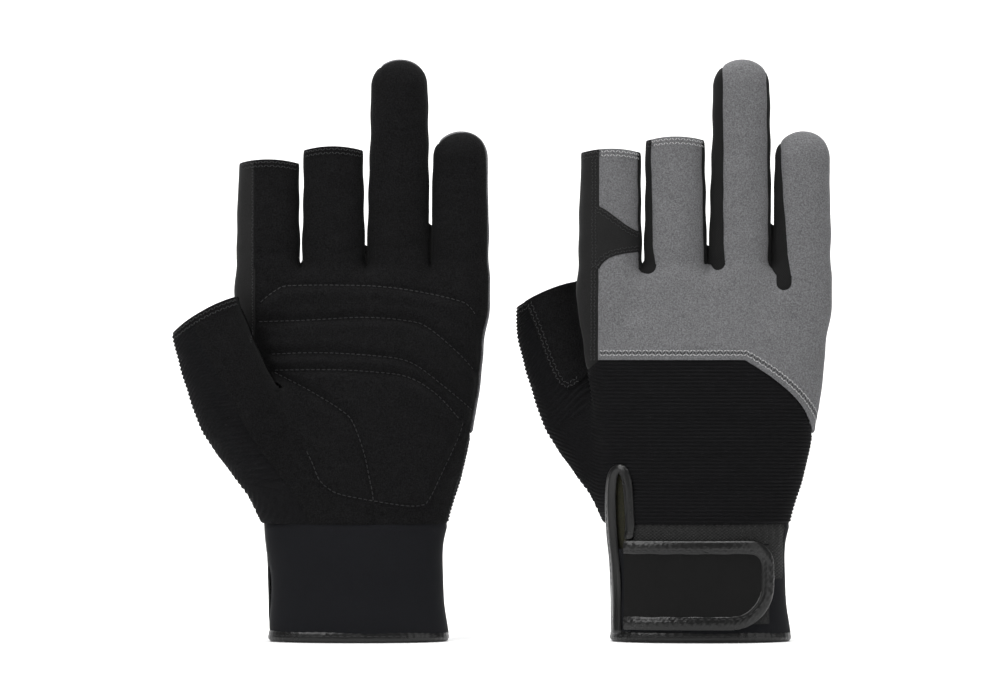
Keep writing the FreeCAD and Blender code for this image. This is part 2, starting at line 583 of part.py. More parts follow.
side_half = size("side_half")
WEDGE_INNER_X = -26.5
for finger in FINGERS:
    bottom = f"({size(finger + '_bend')} + {size('hinge_gap')})"
    tube = cut(f"{finger}_wall", finger_tube(finger, f"{finger}_outer", "0", bottom),
               finger_tube(finger, f"{finger}_inner", INSIDE, f"({bottom} - {PAST})"))
    palm_half = block(f"{finger}_palm_half", -FAR, FAR, -FAR, f"-({side_half} + {half_gap})", FINGERS_FROM,
                      FINGERS_TO)
    sides = block(f"{finger}_between", -FAR, FAR, f"-({side_half} - {half_gap})",
                  f"{side_half} - {half_gap}", FINGERS_FROM, FINGERS_TO)
    back_from = f"{side_half} + {half_gap}"
    if finger == "index":
        outer, inner = size("wedge_high_outer"), size("wedge_high_inner")
        # The wedge's upper edge runs from the side strip to the gap beside the middle finger.
        gap_x, gap_z = -20.0, 177.7
        back_half = outline_prism("index_back_half", [(f"{side_x} + {half_gap}", f"{outer} + {half_gap}"),
                                                      (WEDGE_INNER_X, f"{inner} + {half_gap}"),
                                                      (gap_x, f"{gap_z} + {half_gap}"), (gap_x, FINGERS_TO),
                                                      (f"{side_x} + {half_gap}", FINGERS_TO)], back_from, FAR)
        wedge = outline_prism("index_wedge", [(-FAR, FINGERS_FROM), (-FAR, FINGERS_TO),
                                              (f"{side_x} - {half_gap}", FINGERS_TO),
                                              (f"{side_x} - {half_gap}", f"{outer} - {half_gap}"),
                                              (WEDGE_INNER_X, f"{inner} - {half_gap}"),
                                              (gap_x, f"{gap_z} - {half_gap}"), (gap_x, FINGERS_FROM)], 0, FAR)
        sides = fuse("index_side_region", [sides, wedge])
    else:
        back_half = block(f"{finger}_back_half", -FAR, FAR, back_from, FAR, FINGERS_FROM, FINGERS_TO)
    panel(f"{finger}_palm", tube, palm_half)
    panel(f"{finger}_sides", tube, sides)
    panel(f"{finger}_back", tube, back_half)

# ---------------------------------------------------------------- right glove

for left_piece in list(NODES):
    name = left_piece.Label.replace("left_", "right_")
    mirrored = doc.addObject("Part::Mirroring", "mirrored_" + name)
    mirrored.Source = left_piece
    mirrored.Base = FreeCAD.Vector(0, 0, 0)
    mirrored.Normal = FreeCAD.Vector(0, 1, 0)
    mirrored.Label = name
    bind(mirrored, Placement__Base__x=size("glove_spacing"))
    NODES.append(mirrored)

doc.recompute()

# ---------------------------------------------------------------- checks and export

for thing in doc.Objects:
    problems = [state for state in thing.State if state in ("Invalid", "Error")]
    if problems:
        raise RuntimeError(f"{thing.Name} is {problems}")
os.makedirs("parts", exist_ok=True)
pair = FreeCAD.BoundBox()
for node in NODES:
    shape = node.Shape
    if shape.isNull() or not shape.isValid() or not shape.Solids:
        raise RuntimeError(f"{node.Label} has no valid solid")
    pair.add(shape.BoundBox)
    shape.exportStep(f"parts/{node.Label}.step")
    print(f"{node.Label}: {len(shape.Solids)} solid(s), {shape.Volume:.0f} mm3")
print(f"{len(NODES)} nodes, X {pair.XMin:.1f} to {pair.XMax:.1f}, Y {pair.YMin:.1f} to {pair.YMax:.1f}, "
      f"Z {pair.ZMin:.1f} to {pair.ZMax:.1f}")
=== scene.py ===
# %% [markdown]
# # A pair of short-finger sailing gloves
# The gloves stand on their cuff hems, filled as if a hand were inside. The CAD model holds the
# sizes, the bodies and the joints. Here every sewn panel gets its real look around that frame.
# A glove has no flat or round faces to extrude, so one smooth mathematical form is made first,
# meshed once, and then cut into the panels that a glove maker would cut and sew.

# %% Load the frame
import math
import bpy
import numpy as np
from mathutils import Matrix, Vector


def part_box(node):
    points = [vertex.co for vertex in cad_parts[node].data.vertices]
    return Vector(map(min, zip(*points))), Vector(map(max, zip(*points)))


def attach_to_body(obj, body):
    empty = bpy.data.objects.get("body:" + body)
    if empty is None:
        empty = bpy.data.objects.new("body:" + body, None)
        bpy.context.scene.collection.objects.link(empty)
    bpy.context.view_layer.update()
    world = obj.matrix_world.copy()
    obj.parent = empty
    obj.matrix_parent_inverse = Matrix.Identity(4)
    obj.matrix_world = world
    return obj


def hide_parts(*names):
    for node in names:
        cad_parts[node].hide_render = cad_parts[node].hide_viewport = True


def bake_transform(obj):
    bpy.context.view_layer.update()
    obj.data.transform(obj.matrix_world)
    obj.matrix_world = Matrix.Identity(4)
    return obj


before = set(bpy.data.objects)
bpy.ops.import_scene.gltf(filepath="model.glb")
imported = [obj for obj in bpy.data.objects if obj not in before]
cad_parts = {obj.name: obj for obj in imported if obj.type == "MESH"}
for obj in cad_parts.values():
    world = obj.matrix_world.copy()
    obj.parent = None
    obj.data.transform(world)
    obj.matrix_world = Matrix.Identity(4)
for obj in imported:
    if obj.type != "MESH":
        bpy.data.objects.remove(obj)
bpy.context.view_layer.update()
import openvdb

# %% [markdown]
# ## Where the gloves stand
# All shapes are drawn once, for the left glove, in millimetres: x runs from thumb to little finger
# about the glove's centre line, y from palm (negative) to back, z up. A glove is placed by adding
# its centre line, and the right glove is the left one with y turned round.

# %% Glove centre lines from the frame
HEM_OFFSET = 0.3
MM = 0.001


def centre_line(side):
    low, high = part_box(f"{side}_cuff_binding")
    return (low[0] + high[0]) / 2 / MM - HEM_OFFSET


SIDES = {"left": (centre_line("left"), 1.0), "right": (centre_line("right"), -1.0)}
print({side: round(values[0], 2) for side, values in SIDES.items()})


def to_frame(points, side):
    """Glove millimetres to frame metres."""
    centre, turn = SIDES[side]
    return (np.asarray(points, float) * (1, turn, 1) + (centre, 0, 0)) * MM


# %% [markdown]
# ## The form as a field
# A field gives every point its rough distance from the glove's surface, negative inside. Each part
# of the hand is a stack of ovals whose edges follow a smooth curve. Smooth minimums join fingers
# and thumb to the palm the way stretched fabric does, which no lofted or boolean shape manages.

# %% Helpers for smooth profiles
def profile(knots, values):
    """A smooth curve through the values: a Hermite spline tabled finely and read back."""
    knots, values = np.asarray(knots, float), np.asarray(values, float)
    slopes = np.gradient(values, knots)
    fine = np.linspace(knots[0], knots[-1], 600)
    left = np.clip(np.searchsorted(knots, fine, side="right") - 1, 0, len(knots) - 2)
    span = knots[left + 1] - knots[left]
    t = (fine - knots[left]) / span
    table = ((1 + 2 * t) * (1 - t) ** 2 * values[left] + t * (1 - t) ** 2 * span * slopes[left]
             + t * t * (3 - 2 * t) * values[left + 1] - t * t * (1 - t) * span * slopes[left + 1])
    return lambda at: np.interp(at, fine, table)


def smooth_min(first, second, blend):
    mix = np.clip(0.5 + 0.5 * (second - first) / blend, 0, 1)
    return second * (1 - mix) + first * mix - blend * mix * (1 - mix)


def oval(parts, power=2.0):
    """Rough distance from an oval body: parts are (offset, half size) pairs."""
    total = sum(np.abs(offset / half) ** power for offset, half in parts)
    ratio = np.maximum(total, 1e-9) ** (1 / power)
    slope = sum((np.abs(offset) ** (power - 1) / half ** power) ** 2 for offset, half in parts)
    return (ratio - 1) * ratio ** (power - 1) / np.sqrt(np.maximum(slope, 1e-9))


# %% [markdown]
# ### Hand and cuff
# The palm is widest at the knuckles, narrow at the wrist, and flares a little at the hem.

# %% Hand form
# the heights of the knots, then the three outlines at those heights
HEIGHTS = (-10, 0, 18, 37, 52, 72, 98, 128, 150, 175)
thumb_edge = profile(HEIGHTS, (-38.6, -38.3, -37.2, -38.8, -40.3, -42.0, -45.5, -50.0, -50.0, -46.0))
little_edge = profile(HEIGHTS, (39.2, 38.9, 37.4, 36.3, 39.2, 44.9, 50.3, 53.8, 54.2, 50.0))
half_depth = profile(HEIGHTS, (20.6, 20.5, 19.8, 18.9, 18.4, 18.4, 17.9, 15.2, 11.6, 8.0))
HAND_TOP, TOP_BLEND, HAND_POWER = 158.5, 7.0, 2.25


def hand_field(x, y, z):
    left, right, depth = thumb_edge(z), little_edge(z), half_depth(z)
    side = oval([(x - (left + right) / 2, (right - left) / 2), (y, depth)], HAND_POWER)
    return -smooth_min(-side, HAND_TOP - z, TOP_BLEND)


print("hand:", round(float(little_edge(128.0) - thumb_edge(128.0)), 1), "mm wide at the knuckles")


# %% [markdown]
# ### Fingers
# Index and middle finger are cropped tubes, ring and little finger end in a round tip. Each tube
# tapers away inside the palm, where the smooth minimum takes over.

# %% Finger form
# centre, half width and half depth at the root and at the tip, height, closed tip
FINGERS = {
    "index": (-38.6, -38.3, 14.0, 12.9, 10.9, 10.2, 207.7, False),
    "middle": (-10.5, -10.5, 13.85, 12.7, 11.3, 10.4, 213.0, False),
    "ring": (17.2, 18.1, 13.75, 12.0, 10.9, 9.9, 250.3, True),
    "little": (43.7, 44.2, 12.75, 11.7, 10.0, 9.4, 219.3, True),
}
ROOT, TAIL, TIP_ROUND = 152.0, 24.0, 12.0


def finger_shape(name, z):
    root_x, tip_x, root_w, tip_w, root_d, tip_d, top = FINGERS[name][:7]
    way = np.clip((z - ROOT) / (top - ROOT), -0.2, 1.1)
    return (root_x + (tip_x - root_x) * way, root_w + (tip_w - root_w) * way,
            root_d + (tip_d - root_d) * way)


def finger_field(name, x, y, z):
    centre, width, depth = finger_shape(name, z)
    top, closed = FINGERS[name][6:]
    below = np.minimum(z - ROOT, 0)
    above = np.maximum(z - (top - TIP_ROUND), 0) if closed else 0 * z
    return oval([(x - centre, width), (y, depth), (below, TAIL), (above, TIP_ROUND)])


print("finger tops:", {name: shape[6] for name, shape in FINGERS.items()})


# %% [markdown]
# ### Thumb
# The thumb leans outwards in front of the palm. Its sections lie square to its own axis, so it is
# described by s, the way along the thumb, and u, the way across it.

# %% Thumb form
LEAN = math.radians(29)
# outer corner x and z, width, centre y, half depth
THUMB = ((-35.5, 42.0, 27.0, -2.0, 8.0), (-43.2, 56.5, 32.0, -5.0, 10.5),
         (-56.4, 75.5, 36.5, -11.0, 13.0), (-66.2, 90.7, 37.0, -17.6, 13.4),
         (-71.4, 104.5, 35.4, -21.0, 13.0), (-75.3, 118.0, 33.6, -22.4, 12.5),
         (-78.7, 132.4, 32.0, -23.0, 12.0), (-78.6, 148.5, 31.0, -23.3, 11.7))
WEB = 109.5


def along_thumb(x, z):
    return -math.sin(LEAN) * x + math.cos(LEAN) * z


def across_thumb(x, z):
    return math.cos(LEAN) * x + math.sin(LEAN) * z


THUMB_WAY = [along_thumb(corner[0], corner[1]) for corner in THUMB]
THUMB_START, THUMB_TAIL = THUMB_WAY[1], 16.0
thumb_u = profile(THUMB_WAY, [across_thumb(corner[0], corner[1]) + corner[2] / 2 for corner in THUMB])
thumb_half = profile(THUMB_WAY, [corner[2] / 2 for corner in THUMB])
thumb_y = profile(THUMB_WAY, [corner[3] for corner in THUMB])
thumb_deep = profile(THUMB_WAY, [corner[4] for corner in THUMB])


def thumb_field(x, y, z):
    s, u = along_thumb(x, z), across_thumb(x, z)
    below = np.minimum(s - THUMB_START, 0)
    return oval([(u - thumb_u(s), thumb_half(s)), (y - thumb_y(s), thumb_deep(s)), (below, THUMB_TAIL)])


# %% [markdown]
# ### The whole glove
# Fingers join the hand in a tight web. The thumb joins in a soft one, up to the web's height, and
# is nearly free above it.

# %% Glove form
FINGER_BLEND, THUMB_BLEND, THUMB_FREED, FREEING = 6.0, 7.5, 6.9, 9.0


def hand_and_fingers(x, y, z):
    hand = hand_field(x, y, z)
    whole = hand
    for name in FINGERS:
        whole = np.minimum(whole, smooth_min(hand, finger_field(name, x, y, z), FINGER_BLEND))
    return whole


def glove_field(x, y, z):
    free = np.clip((along_thumb(x, z) - WEB) / FREEING, 0, 1)
    return smooth_min(hand_and_fingers(x, y, z), thumb_field(x, y, z), THUMB_BLEND - THUMB_FREED * free)


print("field at the middle of the palm:", round(float(glove_field(0.0, 0.0, 100.0)), 2), "mm")


# %% [markdown]
# ## Meshing the form
# OpenVDB turns the field into quads in one pass, and a few Newton steps put each point exactly on
# the surface. The gradient of the field is the surface normal. Knitted ribs need many rows and few
# columns, so the grid may have a different step along each axis, and it may follow the thumb.

# %% Meshing and projection
class Patch:
    """A piece of cloth: its points, the smooth normals under them, and its triangles."""

    def __init__(self, points, normals, triangles):
        self.points, self.normals, self.triangles = points, normals, triangles

    def xyz(self):
        return self.points.T


def gradient(field, points, step=0.05):
    parts = []
    for axis in range(3):
        shift = np.zeros(3)
        shift[axis] = step
        parts.append(field(*(points + shift).T) - field(*(points - shift).T))
    return np.stack(parts, 1) / (2 * step)


def unit(vectors):
    return vectors / np.maximum(np.linalg.norm(vectors, axis=-1, keepdims=True), 1e-9)


BAND, NEWTON_STEPS = 3.0, 3


def mesh_of(field, low, high, steps, turn=None):
    """The field's zero surface in a box. turn is a matrix whose rows are the grid's own axes."""
    turn = np.eye(3) if turn is None else turn
    steps = np.asarray(steps, float)
    counts = np.ceil((np.subtract(high, low)) / steps).astype(int) + 1
    axes = [low[i] + steps[i] * np.arange(counts[i]) for i in range(3)]
    block = np.stack(np.meshgrid(*axes, indexing="ij"), -1).reshape(-1, 3) @ turn
    values = field(*block.T).reshape(counts).astype(np.float32)
    grid = openvdb.FloatGrid(background=BAND)
    grid.copyFromArray(np.clip(values, -BAND, BAND))
    points, quads = grid.convertToQuads(isovalue=0.0)
    points = (points.astype(float) * steps + low) @ turn
    for _ in range(NEWTON_STEPS):
        slope = gradient(field, points)
        move = slope * (field(*points.T) / np.maximum((slope ** 2).sum(1), 0.05))[:, None]
        points -= np.clip(move, -0.5, 0.5)
    triangles = np.concatenate((quads[:, [0, 1, 2]], quads[:, [0, 2, 3]]))
    return Patch(points, unit(gradient(field, points)), triangles)


def clip(patch, value):
    """The part of a patch where value is above zero, cut cleanly along the zero line."""
    value = np.where(np.abs(value) < 1e-4, 1e-4, value)
    corners = value[patch.triangles] > 0
    count = corners.sum(1)
    kept = [patch.triangles[count == 3]]
    points, normals = patch.points, patch.normals
    mixed = (count == 1) | (count == 2)
    if mixed.any():
        triangles, flags = patch.triangles[mixed], corners[mixed]
        odd = np.where(flags.sum(1) == 1, flags.argmax(1), (~flags).argmax(1))
        rolled = np.stack([np.take_along_axis(triangles, ((odd + i) % 3)[:, None], 1)[:, 0]
                           for i in range(3)], 1)
        edges = np.sort(np.concatenate((rolled[:, [0, 1]], rolled[:, [0, 2]])), 1)
        unique, index = np.unique(edges, axis=0, return_inverse=True)
        index = index.reshape(-1) + len(points)
        share = value[unique[:, 0]] / (value[unique[:, 0]] - value[unique[:, 1]])
        mix = lambda data: data[unique[:, 0]] + (data[unique[:, 1]] - data[unique[:, 0]]) * share[:, None]
        points = np.concatenate((points, mix(points)))
        normals = np.concatenate((normals, unit(mix(normals))))
        first, second = index[:len(rolled)], index[len(rolled):]
        single = flags.sum(1) == 1
        kept.append(np.stack((rolled[:, 0], first, second), 1)[single])
        kept.append(np.stack((first, rolled[:, 1], rolled[:, 2]), 1)[~single])
        kept.append(np.stack((first, rolled[:, 2], second), 1)[~single])
    triangles = np.concatenate(kept)
    used, triangles = np.unique(triangles, return_inverse=True)
    return Patch(points[used], normals[used], triangles.reshape(-1, 3))


def cut(patch, *scalars):
    for scalar in scalars:
        patch = clip(patch, scalar(*patch.xyz()))
    return patch


def join(*patches):
    sizes = np.cumsum([0] + [len(p.points) for p in patches])
    return Patch(np.concatenate([p.points for p in patches]), np.concatenate([p.normals for p in patches]),
                 np.concatenate([p.triangles + size for p, size in zip(patches, sizes)]))


STEP = 0.95
LOW, HIGH = (-92.0, -42.0, -4.0), (63.0, 27.0, 256.0)
BASE = mesh_of(glove_field, LOW, HIGH, (STEP,) * 3)
print("glove form:", len(BASE.points), "points")

# %% [markdown]
# ## The pattern
# A glove is cut flat and sewn, so its borders are drawn as a pattern maker draws them: outlines
# seen from the palm or the back, in x and z. Each outline becomes a signed distance, positive
# inside, and the cloth is cut where that distance is zero.

# %% Outlines
def curve(knots, count=8):
    """A smooth line through the knots."""
    knots = np.asarray(knots, float)
    ends = np.concatenate(([2 * knots[0] - knots[1]], knots, [2 * knots[-1] - knots[-2]]))
    t = np.linspace(0, 1, count, endpoint=False)[:, None]
    parts = [0.5 * (2 * b + (c - a) * t + (2 * a - 5 * b + 4 * c - d) * t ** 2
                    + (3 * b - a - 3 * c + d) * t ** 3)
             for a, b, c, d in zip(ends, ends[1:], ends[2:], ends[3:])]
    return np.concatenate(parts + [knots[-1:]])


def line_distance(line, x, z):
    """Distance from each point to an open line."""
    at = np.stack((x, z), 1)
    best = np.full(len(at), 1e9)
    for a, b in zip(line[:-1], line[1:]):
        side = b - a
        share = np.clip((at - a) @ side / max(side @ side, 1e-9), 0, 1)
        best = np.minimum(best, np.hypot(*(at - a - share[:, None] * side).T))
    return best


def inside(outline):
    """Signed distance to a closed outline in x and z, positive inside."""
    outline = np.asarray(outline, float)
    closed = np.concatenate((outline, outline[:1]))

    def scalar(x, y, z):
        odd = np.zeros(len(x), bool)
        for a, b in zip(closed[:-1], closed[1:]):
            if a[1] != b[1]:
                cross = (a[1] > z) != (b[1] > z)
                odd ^= cross & (x < (b[0] - a[0]) * (z - a[1]) / (b[1] - a[1]) + a[0])
        return line_distance(closed, x, z) * np.where(odd, 1, -1)
    return scalar


def outside(scalar):
    return lambda x, y, z: -scalar(x, y, z)


def smooth_step(value):
    t = np.clip(value, 0, 1)
    return t * t * (3 - 2 * t)


# Heights of the seams, the pattern's lines, and where fingers and thumb are cut off.
SIDE_SEAM, CUFF_SEAM = -2.5, 50.5
RIB_SEAM = curve([(-73.5, 145.0), (-69.7, 136.7), (-61.9, 120.4), (-52.9, 104.0), (-44.3, 87.3),
                  (-29.2, 66.2), (-20.6, 52.0), (-18.0, 46.0)])
RIB_ZONE = inside(np.concatenate((RIB_SEAM, [(-18, 40), (-120, 40), (-120, 175), (-86, 175)])))
THENAR_LINE = curve([(-35.7, 115.7), (-19.8, 107.5), (-6.0, 98.9), (-1.3, 93.3), (3.0, 81.3), (5.2, 71.0),
                     (6.9, 61.9), (7.6, 46.0)])
THENAR_ZONE = inside(np.concatenate(([(-120, 130), (-50, 119)], THENAR_LINE, [(-120, 40)])))
GREY_EDGE = curve([(18.9, 120.8), (25.5, 116.6), (32.3, 111.9), (38.5, 106.6), (43.0, 101.6), (46.2, 96.5),
                   (48.4, 90.5), (50.0, 83.0), (51.0, 76.0)])
GREY_ZONE = inside(np.concatenate(([(-43.9, 290), (-43.9, 120.8)], GREY_EDGE, [(80, 76), (80, 290)])))
INDEX_ZONE = inside([(-43.9, 290), (-43.9, 120.7), (-50, 115.3), (-56, 110), (-75, 104), (-75, 290)])
WEDGE_TOP = curve([(-47.0, 188.0), (-44.3, 187.0), (-40.4, 184.9), (-35.7, 181.5), (-31.0, 178.2),
                   (-26.7, 176.1), (-20.0, 174.6)])
WEDGE_LOW = curve([(-20.0, 167.9), (-25.4, 167.3), (-32.3, 166.4), (-37.8, 165.1), (-41.7, 162.6),
                   (-43.9, 159.4), (-47.0, 155.0)])
WEDGE_ZONE = inside(np.concatenate((WEDGE_TOP, WEDGE_LOW)))
PATCH_LINE = curve([(-82.0, 163.0), (-74.4, 144.5), (-68.8, 129.4), (-65.4, 120.0), (-61.4, 111.6),
                    (-57.6, 108.4), (-53.5, 109.6), (-49.0, 113.0), (-40.0, 120.0)])
PATCH_ZONE = inside(np.concatenate((PATCH_LINE, [(-30, 175), (-82, 175)])))
NET_ZONE = inside([(-30.5, 60), (-30.5, 42), (29.4, 42), (29.4, 27), (35.4, 27), (37.0, 60)])
SLOTS = ((-22.6, 158.2), (7.3, 159.7), (35.7, 150.7))
SLOT_HALF = 3.25
BETWEEN = (-90.0, -24.9, 3.4, 31.0, 90.0)
THUMB_SPLIT, THUMB_SPAN = WEB + 1.0, 17
THUMB_TOPS = {"left": (154.0, 154.0), "right": (164.0, 160.5)}
FINGER_TOPS = {"left": {"index": 206.8, "middle": 212.4}, "right": {"index": 211.4, "middle": 216.6}}


def slot_zone(x, y, z):
    best = np.full(len(x), -1e9)
    for centre, bottom in SLOTS:
        down = np.minimum(z - bottom - SLOT_HALF, 0)
        best = np.maximum(best, SLOT_HALF - np.hypot(x - centre, down))
    return best


def finger_split(x, y, z):
    """Above this line the cloth belongs to the fingers."""
    return z - np.interp(x, (-26, -23.5, 29.5, 32.5), (160.0, 162.0, 162.0, 157.0))


def thumb_split(x, y, z):
    """Above this line the cloth belongs to the thumb."""
    return np.minimum(along_thumb(x, z) - THUMB_SPLIT, hand_and_fingers(x, y, z) - thumb_field(x, y, z))


def face_edge(x, y, z):
    """The y of the fold between palm and back: the side seam, or the middle of the thumb's edge."""
    share = smooth_step((-38 - x) / 9) * smooth_step((z - 58) / 25) * smooth_step((114 - z) / 8)
    return SIDE_SEAM + (thumb_y(along_thumb(x, z)) - SIDE_SEAM) * share


def palm_face(x, y, z):
    return face_edge(x, y, z) - y


def thumb_face(x, y, z):
    return thumb_y(along_thumb(x, z)) - y


def above(height):
    return lambda x, y, z: z - height


def thumb_open(side):
    outer, inner = THUMB_TOPS[side]

    def scalar(x, y, z):
        across = np.clip((across_thumb(x, z) - thumb_u(along_thumb(x, z))) / 32 + 0.5, 0, 1)
        crown = 1.6 * (1 - (2 * across - 1) ** 2)
        return outer + (inner - outer) * across + crown - along_thumb(x, z)
    return scalar


def finger_open(name, side):
    centre, half, top = FINGERS[name][1], FINGERS[name][3], FINGER_TOPS[side][name]

    def scalar(x, y, z):
        return top - 1.5 * ((x - centre) / half) ** 2 - z
    return scalar


# %% [markdown]
# ## Relief
# Sewn cloth is never flat. A row of stitches pulls a groove, padding swells between the rows, an
# edge that is folded over stands proud, and a worn form keeps soft creases. Each of these is a
# small offset along the normal, in millimetres, worked out from the distance to the pattern lines.

# %% Relief functions
QUILT = [curve(row) for row in (
    [(-41.7, 145.3), (-38.7, 147.9), (-34.4, 150.9), (-29.7, 152.6), (-10.8, 152.9), (8.2, 152.4),
     (26.7, 150.1), (43.4, 146.2), (48.2, 143.6), (51.2, 139.8)],
    [(-42.6, 137.2), (-19.8, 138.0), (3.4, 139.1), (21.9, 137.6), (30.5, 134.6), (43.4, 123.8),
     (50.3, 116.1)],
    [(-37.0, 123.4), (-15.1, 124.0), (8.2, 122.6), (22.8, 119.9), (36.1, 110.5), (49.5, 99.3)],
    [(-35.7, 116.5), (-10.8, 116.7), (8.2, 115.7), (21.9, 113.5), (34.0, 106.2), (44.3, 95.0)],
    [(-21.5, 82.1), (-18.9, 76.5), (-16.3, 70.1), (-12.5, 66.2), (-6.0, 63.2), (12.5, 59.8), (21.9, 58.5),
     (27.5, 58.7), (30.5, 60.6), (36.1, 71.8), (43.4, 87.7), (45.2, 93.3)])]
ALL_QUILT = QUILT + [THENAR_LINE]
PAD_ZONE = inside([(-42, 146), (-30, 153), (10, 153), (48, 145), (52, 130), (49, 97), (46, 92), (31, 60),
                   (20, 58), (-8, 63), (-20, 78), (-34, 100), (-37, 117)])
WAVES = ((0.21, 0.13, 0.33, 0.4), (-0.17, 0.23, 0.19, 1.9), (0.34, -0.2, -0.12, 3.1),
         (0.08, 0.31, -0.41, 5.2))


def wobble(x, y, z):
    return sum(np.sin(a * x + b * y + c * z + d) for a, b, c, d in WAVES) * 0.09


def gauss(value, width):
    return np.exp(-(value / width) ** 2)


def crease(line, width, depth):
    line = curve(line)
    return lambda x, y, z: -depth * gauss(line_distance(line, x, z), width)


PALM_CREASES = (crease([(-48, 168), (-38, 165.5), (-28, 168)], 2.2, 0.45),
                crease([(-20, 169), (-10, 166.5), (0, 169)], 2.2, 0.4),
                crease([(8, 171), (17, 168), (27, 170)], 2.2, 0.45),
                crease([(34, 165), (44, 163), (54, 166)], 2.4, 0.45),
                crease([(-32, 62), (-18, 57), (0, 55.5), (18, 55)], 2.6, 0.5),
                crease([(-62, 108), (-52, 97), (-40, 88), (-26, 84)], 4.0, 0.5))
BACK_CREASES = (crease([(-26, 160), (-14, 164), (-2, 163), (6, 158)], 4.5, 0.55),
                crease([(-8, 186), (-2, 178), (2, 168)], 3.0, 0.35),
                crease([(-40, 97), (-22, 93), (0, 95), (22, 92), (40, 88)], 5.0, 0.4),
                crease([(-38, 68), (-15, 64), (10, 66), (38, 63)], 4.5, 0.45))


def pads(x, y, z):
    """Foam sewn in channels: a groove along each row and a soft swell between the rows."""
    row = np.full(len(x), 1e9)
    for line in ALL_QUILT:
        row = np.minimum(row, line_distance(line, x, z))
    zone = smooth_step((PAD_ZONE(x, y, z) + 1.0) / 3.0)
    swell = (1.15 - 0.55 * smooth_step(row / 14)) * smooth_step(row / 4.2) + 0.15
    return (swell * zone - 0.55 * gauss(row, 0.9)) * smooth_step((face_edge(x, y, z) - y) / 4)


def soft_form(x, y, z):
    """Unevenness that all the cloth shares, whichever panel it is."""
    palm = smooth_step((SIDE_SEAM - y) / 5)
    back = smooth_step((y - 2) / 5)
    rise = wobble(x, y, z) * smooth_step((z - 46) / 12)
    for fold in PALM_CREASES:
        rise = rise + fold(x, y, z) * palm
    for fold in BACK_CREASES:
        rise = rise + fold(x, y, z) * back
    return rise


print("pattern lines ready:", len(ALL_QUILT), "rows of quilting")

# %% [markdown]
# ## Turning a patch into a sewn panel
# A panel is real cloth with a thickness, so each patch gets an inner face and a rim. The shading
# normals come from the smooth form plus the relief, so neighbouring panels read as one soft body.

# %% Panel builder
WALL = 1.2
PIECES = {}


def offset(patch, rise):
    """Move a patch along its normals and tilt the normals to suit the relief."""
    points = patch.points + patch.normals * rise[:, None]
    corners = points[patch.triangles]
    flat = np.cross(corners[:, 1] - corners[:, 0], corners[:, 2] - corners[:, 0])
    source = patch.points[patch.triangles]
    plain = np.cross(source[:, 1] - source[:, 0], source[:, 2] - source[:, 0])
    change = unit(flat) - unit(plain)
    area = np.linalg.norm(flat, axis=1, keepdims=True)
    total, weight = np.zeros_like(points), np.zeros((len(points), 1))
    for corner in range(3):
        np.add.at(total, patch.triangles[:, corner], change * area)
        np.add.at(weight, patch.triangles[:, corner], area)
    return Patch(points, unit(patch.normals + total / np.maximum(weight, 1e-9)), patch.triangles)


def rim_edges(triangles):
    edges = np.concatenate((triangles[:, [0, 1]], triangles[:, [1, 2]], triangles[:, [2, 0]]))
    keys = np.sort(edges, 1)
    _, first, count = np.unique(keys, axis=0, return_index=True, return_counts=True)
    return edges[first[count == 1]]


def build_piece(name, side, patch, materials, wall=WALL):
    """A closed shell: the patch outside, its copy a wall's thickness inside, and a rim between."""
    count = len(patch.points)
    points = np.concatenate((patch.points, patch.points - patch.normals * wall))
    rim = rim_edges(patch.triangles)
    faces = np.concatenate((patch.triangles, patch.triangles[:, ::-1] + count,
                            np.stack((rim[:, 1], rim[:, 0], rim[:, 0] + count), 1),
                            np.stack((rim[:, 1], rim[:, 0] + count, rim[:, 1] + count), 1)))
    turn = SIDES[side][1]
    normals = np.concatenate((patch.normals, -patch.normals)) * (1, turn, 1)
    if turn < 0:
        faces = faces[:, ::-1]
    mesh = bpy.data.meshes.new(name)
    mesh.vertices.add(len(points))
    mesh.vertices.foreach_set("co", to_frame(points, side).astype(np.float32).ravel())
    mesh.loops.add(len(faces) * 3)
    mesh.loops.foreach_set("vertex_index", faces.astype(np.int32).ravel())
    mesh.polygons.add(len(faces))
    mesh.polygons.foreach_set("loop_start", np.arange(len(faces), dtype=np.int32) * 3)
    for material in materials:
        mesh.materials.append(MATERIALS[material])
    slots = np.zeros(len(faces), np.int32)
    slots[len(patch.triangles):2 * len(patch.triangles)] = len(materials) - 1
    mesh.polygons.foreach_set("material_index", slots)
    mesh.polygons.foreach_set("use_smooth", np.ones(len(faces), bool))
    mesh.update()
    mesh.validate()
    mesh.normals_split_custom_set_from_vertices(normals.tolist())
    piece = bpy.data.objects.new(name, mesh)
    bpy.context.scene.collection.objects.link(piece)
    PIECES[name] = len(faces)
    return piece


def attach(piece, side, body):
    """Ride a rigid body; a finger or thumb piece only has its transform baked into its mesh."""
    if body in FINGERS:
        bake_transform(piece)
    elif body == "thumb":
        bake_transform(piece)
    else:
        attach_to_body(piece, f"{side}_{body}")


def place_piece(side, body, name, patch, materials, wall=WALL):
    """Shell a patch, attach it, and let it take the place of the CAD node of that name."""
    piece = build_piece(f"{side}_{name}", side, patch, materials, wall)
    attach(piece, side, body)
    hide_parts(f"{side}_{name}")
    return piece


def seam_dip(distance, depth=0.42, width=0.85):
    return -depth * gauss(np.maximum(distance, 0), width)


